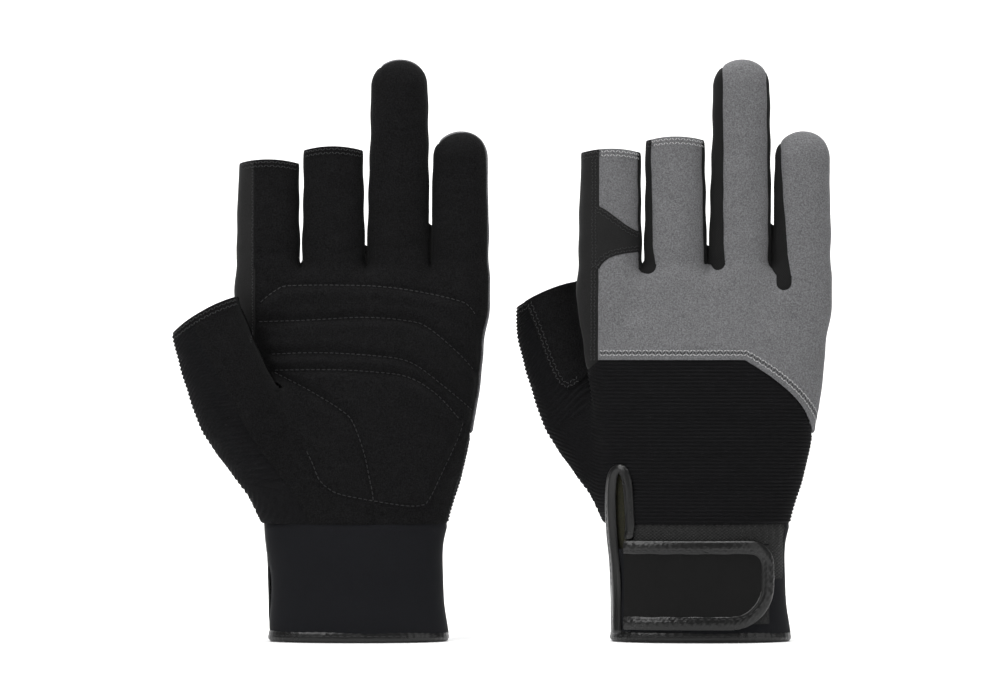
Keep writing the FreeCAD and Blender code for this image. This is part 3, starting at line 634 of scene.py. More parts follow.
def make_panel(side, body, name, patch, materials, borders, style="seam", pads_on=False,
               wall=WALL):
    """Cut patch -> relief -> shell -> attached piece. borders are the scalars that end the panel."""
    near = np.full(len(patch.points), 9.0)
    for border in borders:
        near = np.minimum(near, np.abs(border(*patch.xyz())))
    rise = soft_form(*patch.xyz())
    if pads_on:
        rise = rise + pads(*patch.xyz())
    if style == "seam":
        rise = rise + seam_dip(near)
    elif style == "lap":
        share = smooth_step((150 - patch.points[:, 2]) / 16) if body == "hand" else 1.0
        lap = 0.55 * smooth_step(near / 0.5) - 0.2 * gauss(near - 2.1, 0.8) - 0.2 * gauss(near - 3.9, 0.8)
        rise = rise + lap * share + seam_dip(near) * (1 - share)
    elif style == "flat":
        rise = rise + seam_dip(near, 0.25, 0.6)
    return place_piece(side, body, name, offset(patch, rise), materials, wall)


print("cloth wall:", WALL, "mm")

# %% [markdown]
# ## Materials
# The cloths are dark and differ mostly in how they catch light: suede has a soft nap, knit has
# rows, neoprene is smooth, and the bindings are coated and glossy. Nap, grain and weave are node
# groups, shared by every cloth that has them.

# %% Shader groups
def grey(value, blue=1.0):
    return (value, value, value * blue, 1)


def group(name, inputs, outputs):
    tree = bpy.data.node_groups.new(name, "ShaderNodeTree")
    for label, kind, default in inputs:
        socket = tree.interface.new_socket(label, in_out="INPUT", socket_type=kind)
        socket.default_value = default
    for label, kind in outputs:
        tree.interface.new_socket(label, in_out="OUTPUT", socket_type=kind)
    return tree, tree.nodes.new("NodeGroupInput"), tree.nodes.new("NodeGroupOutput")


def noise(tree, vector, scale, detail=3.0, roughness=0.55):
    node = tree.nodes.new("ShaderNodeTexNoise")
    node.inputs["Detail"].default_value = detail
    node.inputs["Roughness"].default_value = roughness
    tree.links.new(vector, node.inputs["Vector"])
    if isinstance(scale, float):
        node.inputs["Scale"].default_value = scale
    else:
        tree.links.new(scale, node.inputs["Scale"])
    return node.outputs["Fac"]


def arithmetic(tree, kind, *values):
    node = tree.nodes.new("ShaderNodeMath")
    node.operation = kind
    for socket, value in zip(node.inputs, values):
        if isinstance(value, (int, float)):
            socket.default_value = value
        else:
            tree.links.new(value, socket)
    return node.outputs[0]


def blend_colour(tree, share, first, second):
    node = tree.nodes.new("ShaderNodeMix")
    node.data_type = "RGBA"
    tree.links.new(share, node.inputs[0])
    for socket, value in ((node.inputs[6], first), (node.inputs[7], second)):
        if isinstance(value, tuple):
            socket.default_value = value
        else:
            tree.links.new(value, socket)
    return node.outputs[2]


def object_place(tree):
    return tree.nodes.new("ShaderNodeTexCoord").outputs["Object"]


# Nap: short brushed fibres. Tone varies fibre by fibre and in larger soft patches.
NAP, nap_in, nap_out = group("nap", (
    ("Dark", "NodeSocketColor", grey(0.01)), ("Light", "NodeSocketColor", grey(0.02)),
    ("Scale", "NodeSocketFloat", 2600.0)), (("Colour", "NodeSocketColor"), ("Height", "NodeSocketFloat")))
place = object_place(NAP)
fibre = noise(NAP, place, nap_in.outputs["Scale"], 2.0, 0.7)
cloud = noise(NAP, place, 260.0, 3.0)
tone = arithmetic(NAP, "ADD", arithmetic(NAP, "MULTIPLY", fibre, 2.3),
                  arithmetic(NAP, "MULTIPLY", cloud, 0.22))
tone = arithmetic(NAP, "SUBTRACT", tone, 0.76)
NAP.links.new(blend_colour(NAP, tone, nap_in.outputs["Dark"], nap_in.outputs["Light"]),
              nap_out.inputs["Colour"])
NAP.links.new(fibre, nap_out.inputs["Height"])

# Weave: crossing threads along two directions of the glove.
WEAVE, weave_in, weave_out = group("weave", (
    ("Dark", "NodeSocketColor", grey(0.01)), ("Light", "NodeSocketColor", grey(0.02)),
    ("Across", "NodeSocketFloat", 6000.0), ("Up", "NodeSocketFloat", 6000.0)),
    (("Colour", "NodeSocketColor"), ("Height", "NodeSocketFloat")))
split = WEAVE.nodes.new("ShaderNodeSeparateXYZ")
WEAVE.links.new(object_place(WEAVE), split.inputs[0])
across, up = (arithmetic(WEAVE, "SINE", arithmetic(WEAVE, "MULTIPLY", split.outputs[axis],
                                                   weave_in.outputs[label]))
              for axis, label in (("X", "Across"), ("Z", "Up")))
knot = arithmetic(WEAVE, "MULTIPLY_ADD", arithmetic(WEAVE, "MULTIPLY", across, up), 0.5, 0.5)
WEAVE.links.new(blend_colour(WEAVE, knot, weave_in.outputs["Dark"], weave_in.outputs["Light"]),
                weave_out.inputs["Colour"])
WEAVE.links.new(knot, weave_out.inputs["Height"])

# Grain: the pebbled skin of coated leather cloth.
GRAIN, grain_in, grain_out = group("grain", (("Scale", "NodeSocketFloat", 900.0),), (
    ("Height", "NodeSocketFloat"), ("Roughness", "NodeSocketFloat")))
cells = GRAIN.nodes.new("ShaderNodeTexVoronoi")
GRAIN.links.new(object_place(GRAIN), cells.inputs["Vector"])
GRAIN.links.new(grain_in.outputs["Scale"], cells.inputs["Scale"])
GRAIN.links.new(cells.outputs["Distance"], grain_out.inputs["Height"])
worn = noise(GRAIN, object_place(GRAIN), 120.0, 3.0)
GRAIN.links.new(arithmetic(GRAIN, "MULTIPLY_ADD", worn, 0.22, 0.2), grain_out.inputs["Roughness"])
print("shared patterns:", [tree.name for tree in (NAP, WEAVE, GRAIN)])

# %% [markdown]
# ### The cloths
# Each cloth is a row in a table: its pattern, its two tones and how its surface takes light.
# Tones are low, because black cloth reflects about one part in a hundred.

# %% Materials
def cloth(name, tree=None, values=(), roughness=0.9, sheen=0.0, bump=0.0, depth=0.0002, specular=0.35,
          colour=None):
    material = bpy.data.materials.new(name)
    material.use_nodes = True
    nodes, links = material.node_tree.nodes, material.node_tree.links
    shader = nodes["Principled BSDF"]
    shader.inputs["Roughness"].default_value = roughness
    shader.inputs["Specular IOR Level"].default_value = specular
    shader.inputs["Sheen Weight"].default_value = sheen
    shader.inputs["Sheen Roughness"].default_value = 0.5
    if colour:
        shader.inputs["Base Color"].default_value = colour
    if tree:
        node = nodes.new("ShaderNodeGroup")
        node.node_tree = tree
        for label, value in values:
            node.inputs[label].default_value = value
        if "Colour" in node.outputs:
            links.new(node.outputs["Colour"], shader.inputs["Base Color"])
        if "Roughness" in node.outputs:
            links.new(node.outputs["Roughness"], shader.inputs["Roughness"])
        relief = nodes.new("ShaderNodeBump")
        relief.inputs["Strength"].default_value = bump
        relief.inputs["Distance"].default_value = depth
        links.new(node.outputs["Height"], relief.inputs["Height"])
        links.new(relief.outputs["Normal"], shader.inputs["Normal"])
    return material


CLOTHS = {  # pattern, dark, light, scales, roughness, sheen, bump, bump depth, specular
    "black_suede": (NAP, grey(0.0008), grey(0.0100, 1.05), [1700], 0.95, 0.012, 0.9, 0.00025, 0.08),
    "grey_suede": (NAP, grey(0.068, 1.02), grey(0.172, 1.04), [1600], 0.95, 0.05, 0.7, 0.0002, 0.15),
    "rib_knit": (NAP, grey(0.0015), grey(0.0065, 1.15), [2600], 0.9, 0.010, 0.35, 0.0001, 0.12),
    "side_leather": (NAP, grey(0.0035), grey(0.010), [1800], 0.75, 0.02, 0.3, 0.00015, 0.2),
    "stretch": (WEAVE, grey(0.003), grey(0.012), [6800, 9000], 0.9, 0.02, 0.5, 0.0001, 0.12),
    "neoprene": (NAP, (0.003, 0.0032, 0.004, 1), (0.0075, 0.0079, 0.0098, 1), [4200], 0.85, 0.015, 0.3,
                 0.0001, 0.12),
    "net": (WEAVE, grey(0.0008), grey(0.010), [3600, 4400], 0.8, 0.02, 0.8, 0.0003, 0.35),
    "strap_cloth": (WEAVE, grey(0.003), grey(0.010), [9000, 9000], 0.9, 0.02, 0.4, 0.0001, 0.12),
    "loop_pile": (NAP, grey(0.003), grey(0.016), [1300], 0.95, 0.1, 1.0, 0.0006, 0.35),
    "hook_tape": (WEAVE, grey(0.004), grey(0.03), [4200, 4200], 0.6, 0.0, 1.0, 0.0005, 0.35),
    "lining": (WEAVE, grey(0.006), grey(0.02), [5000, 5000], 0.9, 0.05, 0.3, 0.0001, 0.35),
    "olive": (NAP, (0.004, 0.004, 0.002, 1), (0.02, 0.019, 0.006, 1), [1500], 0.95, 0.05, 0.6, 0.0003, 0.35),
}
MATERIALS = {}
for name, (tree, dark, light, scales, *surface) in CLOTHS.items():
    labels = ["Scale"] if tree == NAP else ["Across", "Up"]
    values = [("Dark", dark), ("Light", light)] + list(zip(labels, scales))
    MATERIALS[name] = cloth(name, tree, values, *surface)
MATERIALS["gloss"] = cloth("gloss", GRAIN, [("Scale", 1500)], 0.3, 0.0, 0.32, 0.00014, 0.4, grey(0.003))
MATERIALS["thread_dark"] = cloth("thread_dark", roughness=0.55, specular=0.35, colour=grey(0.015, 1.05))
MATERIALS["thread_light"] = cloth("thread_light", roughness=0.6, specular=0.4, colour=grey(0.36))
print("materials:", len(MATERIALS))

# %% [markdown]
# ## Knitted ribs
# The ribs run level across the back, climb towards the thumb and wrap round its edge. On the real
# glove they are a corded stretch knit. They are modelled, not painted, so that they break the
# outline. A grid with fine rows and wide columns carries them at a low cost.

# %% Rib direction and profile
RIB_PITCH, RIB_HEIGHT, CLIMB = 1.57, 0.26, 0.42
OUTER_EDGE = (50, 63, 77, 90.7, 104.5, 118, 132.4), (-42.6, -50.7, -59.3, -66.2, -71.4, -75.3, -78.7)


def rib_level(x, y, z):
    """Height of the knit row that passes through a point, before the cloth was stretched."""
    reach = np.minimum(x + 40, 0)
    climb = CLIMB * reach * smooth_step(-reach / 12)
    outer = np.interp(z, *OUTER_EDGE)
    steepness = 0.45 + 0.55 * smooth_step((z - 52) / 18)
    front = CLIMB * np.minimum(outer + 40, 0) - steepness * (x - outer)
    turned = smooth_step((face_edge(x, y, z) + 2 - y) / 6)
    return z + climb * (1 - turned) + front * turned


def ribs(x, y, z, near):
    wave = np.cos(2 * np.pi * rib_level(x, y, z) / RIB_PITCH)
    return RIB_HEIGHT * np.sign(wave) * np.abs(wave) ** 0.8 * smooth_step(near / 0.7)


print("rib pitch", RIB_PITCH, "mm")

# %% [markdown]
# ## Cutting the panels
# One mesh is cut into every panel of both gloves. Panels that share a seam are cut along the same
# line, so they meet without a gap. The stretchy parts use the fine ribbed meshes instead.

# %% Hand, fingers and thumb patches

def hand_cloth(patch):
    return cut(patch, outside(thumb_split), outside(finger_split))


def thumb_cloth(patch, side):
    return cut(patch, thumb_split, thumb_open(side))


RIB_STEPS = ((1.5, 1.5, 0.26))
THUMB_AXES = np.array(((math.cos(LEAN), 0, math.sin(LEAN)), (0, 1, 0),
                       (-math.sin(LEAN), 0, math.cos(LEAN))))
hand_ribs = mesh_of(glove_field, (-72.0, -36.0, CUFF_SEAM - 1.5), (60.0, 24.0, 124.0), RIB_STEPS)
thumb_ribs = mesh_of(glove_field, (-22.0, -40.0, 108.0), (40.0, 0.0, 168.0), RIB_STEPS, THUMB_AXES)
strip_ribs = mesh_of(glove_field, (-24.0, -36.0, 46.0), (16.0, 8.0, 116.0), RIB_STEPS, THUMB_AXES)


def palm_strip(x, y, z):
    """Positive on the palm side of the thumb's edge, where the rows climb and need a turned grid."""
    return np.minimum(palm_face(x, y, z), -18.5 - x)


hand_ribs = cut(hand_ribs, outside(thumb_split), outside(palm_strip))
strip_ribs = cut(strip_ribs, outside(thumb_split), palm_strip)
thumb_ribs = cut(thumb_ribs, thumb_split)


WRAP = 4.0


def ribbed_zone(x, y, z):
    """Positive where the hand is ribbed knit: the back below the grey panel, and round the thumb's edge."""
    palm = palm_face(x, y, z)
    round_edge = WRAP * smooth_step((-28 - x) / 8)
    back = np.minimum(round_edge - palm, np.minimum(-GREY_ZONE(x, y, z), -INDEX_ZONE(x, y, z)))
    back = np.where((palm > 0) & (RIB_ZONE(x, y, z) < 0), np.minimum(back, -palm), back)
    return np.maximum(back, np.minimum(palm + round_edge, RIB_ZONE(x, y, z)))


def thumb_ribbed(x, y, z):
    palm = thumb_face(x, y, z)
    seam = RIB_ZONE(x, y, z)
    front = np.where((palm < 0) & (PATCH_ZONE(x, y, z) > 0), np.minimum(palm, seam),
                     np.minimum(palm + WRAP, seam))
    back = np.where((palm > 0) & (seam < 0), -palm, np.minimum(WRAP - palm, -PATCH_ZONE(x, y, z)))
    return np.maximum(front, back)


SLIT = [(-37.6, 44), (-37.6, 66), (-37.2, 71.5), (-34.9, 74.2), (-32.2, 71.5), (-31.0, 64), (-31.0, 44)]
SLIT_ZONE = inside(np.concatenate((curve(SLIT), [(-31, 40), (-37.6, 40)])))


def slit_space(x, y, z):
    """The open slit, at the back of the wrist only."""
    return np.minimum(SLIT_ZONE(x, y, z), y)


def cuff_form(x, y, z):
    return 0.35 * np.sin(z * 0.21 + x * 0.03) + 0.12 * np.sin(x * 0.19 + 1.0)


for side in SIDES:
    hand = hand_cloth(cut(BASE, above(CUFF_SEAM)))
    palm, back = cut(hand, palm_face), cut(hand, outside(palm_face))
    suede = cut(palm, outside(RIB_ZONE), outside(INDEX_ZONE))
    make_panel(side, "hand", "thenar_panel", cut(suede, THENAR_ZONE), ["black_suede", "lining"],
               [RIB_ZONE, palm_face, above(CUFF_SEAM)], pads_on=True)
    main = make_panel(side, "hand", "palm_panel", cut(suede, outside(THENAR_ZONE)), ["black_suede", "lining"],
                      [RIB_ZONE, palm_face, INDEX_ZONE, above(CUFF_SEAM)], pads_on=True)
    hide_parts(f"{side}_palm_pads")
    index_side = join(cut(palm, outside(RIB_ZONE), INDEX_ZONE), cut(back, INDEX_ZONE))
    make_panel(side, "hand", "index_side_panel", index_side, ["side_leather", "lining"], [INDEX_ZONE])
    grey_part = cut(back, GREY_ZONE, outside(slot_zone))
    make_panel(side, "hand", "knuckle_panel", grey_part, ["grey_suede", "lining"],
               [GREY_ZONE, slot_zone, palm_face], "lap", wall=1.5)
    make_panel(side, "hand", "crotch_gussets", cut(back, GREY_ZONE, slot_zone), ["stretch", "lining"],
               [slot_zone])

    knit = cut(join(hand_ribs, strip_ribs), above(CUFF_SEAM), ribbed_zone, outside(slit_space))
    near = np.minimum(np.abs(ribbed_zone(*knit.xyz())), np.abs(knit.points[:, 2] - CUFF_SEAM))
    knit = offset(knit, soft_form(*knit.xyz()) - 0.12 + ribs(*knit.xyz(), near) - 0.45 * gauss(near, 0.7))
    place_piece(side, "hand", "rib_panel", knit, ["rib_knit", "lining"])

    thumb = thumb_cloth(BASE, side)
    front, rear = cut(thumb, thumb_face), cut(thumb, outside(thumb_face))
    make_panel(side, "thumb", "thumb_palm", cut(front, outside(RIB_ZONE)), ["black_suede", "lining"],
               [RIB_ZONE, thumb_open(side)])
    make_panel(side, "thumb", "thumb_back", cut(rear, PATCH_ZONE), ["black_suede", "lining"],
               [PATCH_ZONE, thumb_open(side)], "lap")
    knit = cut(thumb_ribs, thumb_open(side), thumb_ribbed)
    near = np.minimum(np.abs(thumb_ribbed(*knit.xyz())), np.abs(thumb_open(side)(*knit.xyz())))
    knit = offset(knit, soft_form(*knit.xyz()) - 0.12 + ribs(*knit.xyz(), near) - 0.3 * gauss(near, 0.6))
    place_piece(side, "thumb", "thumb_rib", knit, ["rib_knit", "lining"])
print("hand and thumb panels:", sum(PIECES.values()), "triangles")

# %% [markdown]
# ### Finger panels
# Each finger has a suede palm, a grey back and a stretch fourchette between them. On the thumb side
# the fourchette shows as a strip; on the other side only its edge does.

# %% Fingers
LEFT_SLOT = {"index": ((150, -43.6), (215, -43.6)), "middle": ((160, -19.4), (170, -20.7), (217, -21.4)),
             "ring": ((160, 10.5), (172, 9.7), (250, 9.4)),
             "little": ((152, 38.95), (157, 38.7), (166, 37.2), (200, 34.7), (219, 34.2))}
RIGHT_SLOT = {"index": -25.85, "middle": 4.05, "ring": 32.45, "little": 90.0}


def finger_back(name):
    """Positive on the grey back of a finger."""
    centre, (top, closed) = FINGERS[name][0], FINGERS[name][6:]
    outer = SIDE_SEAM if name == "little" else 4.4

    def scalar(x, y, z):
        height = outer + 0 * z
        if closed:
            height = height + (-1.5 - outer) * smooth_step((z - top + 11) / 9)
        across = smooth_step((x - centre + 3) / 6)
        level = (y - height) * across + 6.0 * (1 - across)
        edges = np.minimum(x - np.interp(z, *zip(*LEFT_SLOT[name])), RIGHT_SLOT[name] - x)
        value = np.minimum(np.minimum(edges, level), y - SIDE_SEAM)
        if name == "index":
            value = np.minimum(value, -WEDGE_ZONE(x, y, z))
        return value
    return scalar


def finger_palm(name):
    if name == "index":
        return lambda x, y, z: np.minimum(SIDE_SEAM - y, x + 44.3)
    return lambda x, y, z: SIDE_SEAM - y


for side in SIDES:
    for number, name in enumerate(FINGERS):
        closed = FINGERS[name][7]
        low, high = BETWEEN[number], BETWEEN[number + 1]
        finger = cut(BASE, lambda x, y, z: np.minimum(x - low, high - x), finger_split, outside(thumb_split))
        borders = []
        if not closed:
            finger = cut(finger, finger_open(name, side))
            borders = [finger_open(name, side)]
        is_back, is_palm = finger_back(name), finger_palm(name)
        make_panel(side, name, f"{name}_palm", cut(finger, is_palm, outside(is_back)),
                   ["black_suede", "lining"], [is_palm] + borders, "flat")
        make_panel(side, name, f"{name}_back", cut(finger, is_back), ["grey_suede", "lining"],
                   [is_back] + borders)
        make_panel(side, name, f"{name}_sides", cut(finger, outside(is_palm), outside(is_back)),
                   ["side_leather" if name == "index" else "stretch", "lining"],
                   [is_palm, is_back] + borders, "flat")
print("with fingers:", sum(PIECES.values()), "triangles")

# %% [markdown]
# ## Cuff
# The cuff is neoprene with an elastic net at the back of the wrist, and a glossy binding round its
# hem. The closing strap lies over it and is bound in the same glossy cloth.

# %% Cuff band, net, hem binding
FINE = 0.6
BINDING_TOP, CUFF_WALL, HEM_WALL = 5.0, 1.6, 2.2
cuff = mesh_of(hand_field, (-46.0, -24.0, -1.0), (46.0, 24.0, CUFF_SEAM + 1.5), (FINE + 0.3,) * 3)


def net_zone(x, y, z):
    return np.minimum(NET_ZONE(x, y, z), y - 1.0)


for side in SIDES:
    body = cut(cuff, above(BINDING_TOP - 1.2), outside(above(CUFF_SEAM)), outside(slit_space))
    for name, patch, slot, zone in (("cuff_band", cut(body, outside(net_zone)), "neoprene", -0.1),
                                    ("cuff_elastic", cut(body, net_zone), "net", -0.35)):
        x, y, z = patch.xyz()
        near = CUFF_SEAM - z
        gather = 0.22 * np.sin(x * 1.9 + 0.6 * np.sin(z * 0.8)) * smooth_step((z - 38) / 10)
        gather = gather * (slot == "net")
        rise = zone + cuff_form(x, y, z) * smooth_step(near / 12) - 0.5 * gauss(near, 1.0) + gather
        place_piece(side, "hand", name, offset(patch, rise), [slot, "lining"], CUFF_WALL)

    hem_patch = cut(cuff, above(0.35), outside(above(BINDING_TOP)))
    x, y, z = hem_patch.xyz()
    round_edge = np.sqrt(np.clip(1 - ((z - 2.7) / 2.35) ** 2, 0, 1))
    pinch = -0.28 * gauss(z - 2.9, 0.45)
    angle = np.arctan2(y / 20, x / 38)
    ripple = 0.07 * np.sin(angle * 61 + 0.8 * np.sin(angle * 7))
    place_piece(side, "hand", "cuff_binding", offset(hem_patch, 1.05 * round_edge - 0.55 + pinch + ripple),
                ["gloss"], HEM_WALL)
print("with cuff:", sum(PIECES.values()), "triangles")

# %% [markdown]
# ### Closing strap
# The strap is a tab of cloth sewn at the thumb side, with a rounded free end. The binding is folded
# over its edge, so it is fatter in its middle and pinched along the stitch row.

# %% Strap, binding, hook and loop
def tab(inset):
    """The strap's outline, drawn in by inset."""
    left, right, low, high = -60.0 + inset, 31.6 - inset, 5.6 + inset, 43.6 - inset
    low_round, high_round = max(19.0 - inset, 1), max(10.5 - inset, 1)
    turns = np.linspace(0, math.pi / 2, 10)
    corner = [(right - low_round + low_round * math.sin(t), low + low_round - low_round * math.cos(t))
              for t in turns]
    upper = [(right - high_round + high_round * math.cos(t), high - high_round + high_round * math.sin(t))
             for t in turns]
    return inside([(left, low)] + corner + upper + [(left, high)])


TAB, BINDING_WIDTH = tab(0.0), 5.8
back_of_cuff = cut(mesh_of(hand_field, (-46.0, -1.0, -1.0), (46.0, 26.0, 82.0), (FINE,) * 3),
                   lambda x, y, z: y - 1)


def strap_rise(x, y, z):
    """The strap bows away from the cuff and lifts a little at its free end."""
    return 2.5 + 0.5 * smooth_step((x - 12) / 20) + 0.22 * np.sin(x * 0.13 + z * 0.09)


def raised(patch, rise):
    """A patch moved out by rise, with its own normals as its new base form."""
    moved = offset(patch, rise)
    return Patch(moved.points, patch.normals, patch.triangles)


for side in SIDES:
    tab_patch = cut(raised(back_of_cuff, strap_rise(*back_of_cuff.xyz())), lambda x, y, z: x + 33.1)
    distance = TAB(*tab_patch.xyz())
    field_patch = clip(tab_patch, distance - BINDING_WIDTH + 0.8)
    field_patch = offset(field_patch, 0.12 * np.sin(field_patch.points[:, 0] * 0.5) - 0.35)
    place_piece(side, "strap", "strap_panel", field_patch, ["strap_cloth"], 1.0)

    edge = clip(tab_patch, distance)
    edge = clip(edge, BINDING_WIDTH - TAB(*edge.xyz()))
    across = TAB(*edge.xyz())
    arch = np.clip(1 - ((across - 2.9) / 2.9) ** 2, 0, 1) ** 0.5
    x, y, z = edge.xyz()
    ripple = 0.08 * np.sin(x * 1.7 + z * 1.3) + 0.05 * np.sin(x * 3.1 - z * 2.3)
    edge = offset(edge, 1.0 * arch - 0.55 - 0.35 * gauss(across - 4.5, 0.4) + ripple * arch)
    place_piece(side, "strap", "strap_binding", edge, ["gloss"], 1.7)

    for name, low, high, slot, lift, holder in (
            ("hook_patch", (-22, 9.5), (22, 39.5), "hook_tape", 1.35, "strap"),
            ("loop_patch", (-28, 8), (29, 41.5), "loop_pile", 0.45, "hand")):
        patch = cut(back_of_cuff, inside([low, (high[0], low[1]), high, (low[0], high[1])]))
        patch = offset(patch, lift + 0 * patch.points[:, 0])
        place_piece(side, holder, name, patch, [slot], 0.7)
print("with strap:", sum(PIECES.values()), "triangles")

# %% [markdown]
# ### Bound slit
# A short slit lets the wrist open. Its two strands are one glossy binding, bent over at the top; the
# outer strand runs on beside the strap to the hem. Inside the slit the lining shows dark.

# %% Slit binding
STRAND = 2.0
SLIT_LINE = curve([(-35.6, 5.0), (-35.8, 20.0), (-36.4, 34.0), (-37.6, 46.0), (-38.2, 58.0), (-38.0, 67.0),
                   (-37.0, 72.4), (-34.9, 74.3), (-32.6, 72.6), (-31.2, 67.0), (-30.5, 58.0), (-30.2, 50.0),
                   (-30.6, 45.5)])
for side in SIDES:
    distance = line_distance(SLIT_LINE, back_of_cuff.points[:, 0], back_of_cuff.points[:, 2])
    strand = clip(back_of_cuff, STRAND - distance)
    distance = line_distance(SLIT_LINE, strand.points[:, 0], strand.points[:, 2])
    arch = np.sqrt(np.clip(1 - (distance / STRAND) ** 2, 0, 1))
    strand = offset(strand, 0.25 + 1.55 * arch - 0.22 * gauss(distance - 0.85, 0.28))
    hollow = cut(back_of_cuff, SLIT_ZONE)
    hollow = offset(hollow, -1.6 + 0 * hollow.points[:, 0])
    place_piece(side, "hand", "slit_binding", strand, ["gloss"], 1.6)
    attach(build_piece(f"{side}_slit_inside", side, hollow, ["olive"], 0.5), side, "hand")
print("with slit:", sum(PIECES.values()), "triangles")

# %% [markdown]
# ## Stitches
# Every visible row is real thread: quilting on the palm, double rows at the folded borders, slanted
# cover stitch at the cropped hems, and long stitches on the bindings. Geometry Nodes lays one small
# thread on each marked place, so a row's length, pitch and slant can be changed in one spot.

# %% Stitch nodes and rows
def stitch_tree():
    """One small thread on every marked point, turned and sized by the point's attributes."""
    tree = bpy.data.node_groups.new("stitches", "GeometryNodeTree")
    for label, way, kind in (("Geometry", "INPUT", "Geometry"), ("Material", "INPUT", "Material"),
                             ("Thickness", "INPUT", "Float"), ("Geometry", "OUTPUT", "Geometry")):
        tree.interface.new_socket(label, in_out=way, socket_type=f"NodeSocket{kind}")
    new, link = tree.nodes.new, tree.links.new
    source, target = new("NodeGroupInput"), new("NodeGroupOutput")
    thread, thick, turn = new("GeometryNodeMeshIcoSphere"), new("ShaderNodeVectorMath"), new(
        "FunctionNodeAxesToRotation")
    thread.inputs["Radius"].default_value, thread.inputs["Subdivisions"].default_value = 0.5, 2
    thick.operation = "SCALE"
    turn.primary_axis, turn.secondary_axis = "Z", "X"
    points, place, real, smooth, paint = (new(f"GeometryNode{kind}") for kind in (
        "MeshToPoints", "InstanceOnPoints", "RealizeInstances", "SetShadeSmooth", "SetMaterial"))
    for label, socket in (("up", turn.inputs["Primary Axis"]), ("along", turn.inputs["Secondary Axis"]),
                          ("measure", thick.inputs[0])):
        mark = new("GeometryNodeInputNamedAttribute")
        mark.data_type = "FLOAT_VECTOR"
        mark.inputs["Name"].default_value = label
        link(mark.outputs["Attribute"], socket)
    link(source.outputs["Thickness"], thick.inputs["Scale"])
    link(source.outputs["Geometry"], points.inputs["Mesh"])
    link(points.outputs["Points"], place.inputs["Points"])
    link(thread.outputs["Mesh"], place.inputs["Instance"])
    link(turn.outputs["Rotation"], place.inputs["Rotation"])
    link(thick.outputs["Vector"], place.inputs["Scale"])
    link(place.outputs["Instances"], real.inputs["Geometry"])
    link(source.outputs["Material"], paint.inputs["Material"])
    for first, second in ((real, smooth), (smooth, paint), (paint, target)):
        link(first.outputs["Geometry"], second.inputs["Geometry"])
    return tree


STITCHES = stitch_tree()


def onto(line, face, lift=0.12, form=glove_field, rise=None):
    """Lay a line given in x and z on the palm (-1) or the back (1) of the glove's form."""
    line = np.asarray(line, float)
    lengths = np.concatenate(([0], np.cumsum(np.hypot(*np.diff(line, axis=0).T))))
    at = np.linspace(0, lengths[-1], max(int(lengths[-1] / 0.7), 3))
    x, z = np.interp(at, lengths, line[:, 0]), np.interp(at, lengths, line[:, 1])
    y = np.full(len(x), 45.0 * face)
    for _ in range(60):
        y -= face * 0.7 * np.clip(form(x, y, z), -4, 12)
    points = np.stack((x, y, z), 1)
    normals = unit(gradient(form, points))
    height = lift + (soft_form(x, y, z) if rise is None else rise(x, y, z))
    keep = normals[:, 1] * face > 0.12
    return (points + normals * np.asarray(height)[..., None])[keep], normals[keep]


def row(points, normals, pitch, length, width, slant=0.0):
    """Thread places along a laid line: centre, direction, up and size for each stitch."""
    steps = np.linalg.norm(np.diff(points, axis=0), axis=1)
    lengths = np.concatenate(([0], np.cumsum(steps)))
    at = np.arange(pitch / 2, lengths[-1], pitch)
    pick = lambda data: np.stack([np.interp(at, lengths, data[:, i]) for i in range(3)], 1)
    centre, up = pick(points), unit(pick(normals))
    ahead = np.stack([np.interp(at + 0.2, lengths, points[:, i]) for i in range(3)], 1)
    behind = np.stack([np.interp(at - 0.2, lengths, points[:, i]) for i in range(3)], 1)
    along = unit(ahead - behind)
    across = np.cross(up, along)
    sign = np.where(np.arange(len(at)) % 2 == 0, 1.0, -1.0)[:, None]
    angle = math.radians(slant)
    direction = along * math.cos(angle) + across * math.sin(angle) * sign
    return centre, direction, up, np.tile((length, width, width * 0.8), (len(at), 1))


def sew(side, body, name, material, rows):
    """All the rows of one thread on one body, as one mesh."""
    rows = [entry for entry in rows if len(entry[0])]
    centre, along, up, measure = (np.concatenate([entry[i] for entry in rows]) for i in range(4))
    turn = np.array((1, SIDES[side][1], 1))
    mesh = bpy.data.meshes.new(name)
    mesh.from_pydata(to_frame(centre, side).tolist(), [], [])
    for label, data in (("along", along * turn), ("up", up * turn), ("measure", measure * MM)):
        mesh.attributes.new(label, "FLOAT_VECTOR", "POINT").data.foreach_set(
            "vector", data.astype(np.float32).ravel())
    marks = bpy.data.objects.new(name, mesh)
    bpy.context.scene.collection.objects.link(marks)
    modifier = marks.modifiers.new("stitches", "NODES")
    modifier.node_group = STITCHES
    sockets = {item.name: item.identifier for item in STITCHES.interface.items_tree if item.in_out == "INPUT"}
    modifier[sockets["Material"]] = MATERIALS[material]
    modifier[sockets["Thickness"]] = 1.0
    evaluated = marks.evaluated_get(bpy.context.evaluated_depsgraph_get())
    result = bpy.data.meshes.new_from_object(evaluated)
    marks.modifiers.remove(modifier)
    marks.data = result
    PIECES[f"{side}_{name}"] = len(result.polygons)
    marks.name = f"{side}_{name}"
    attach(marks, side, body)


def beside_line(line, gap):
    """The line moved sideways, to the left of its direction for a positive gap."""
    line = np.asarray(line, float)
    ahead = np.gradient(line, axis=0)
    ahead /= np.maximum(np.hypot(ahead[:, 0], ahead[:, 1]), 1e-9)[:, None]
    return line + np.stack((-ahead[:, 1], ahead[:, 0]), 1) * gap


def palm_rise(x, y, z):
    return soft_form(x, y, z) + pads(x, y, z)


def beside_rows(line, gaps, style, face=1, lift=0.12):
    """Rows of one style along a line, each a gap away from it."""
    return [row(*onto(beside_line(line, gap), face, lift), *style) for gap in gaps]


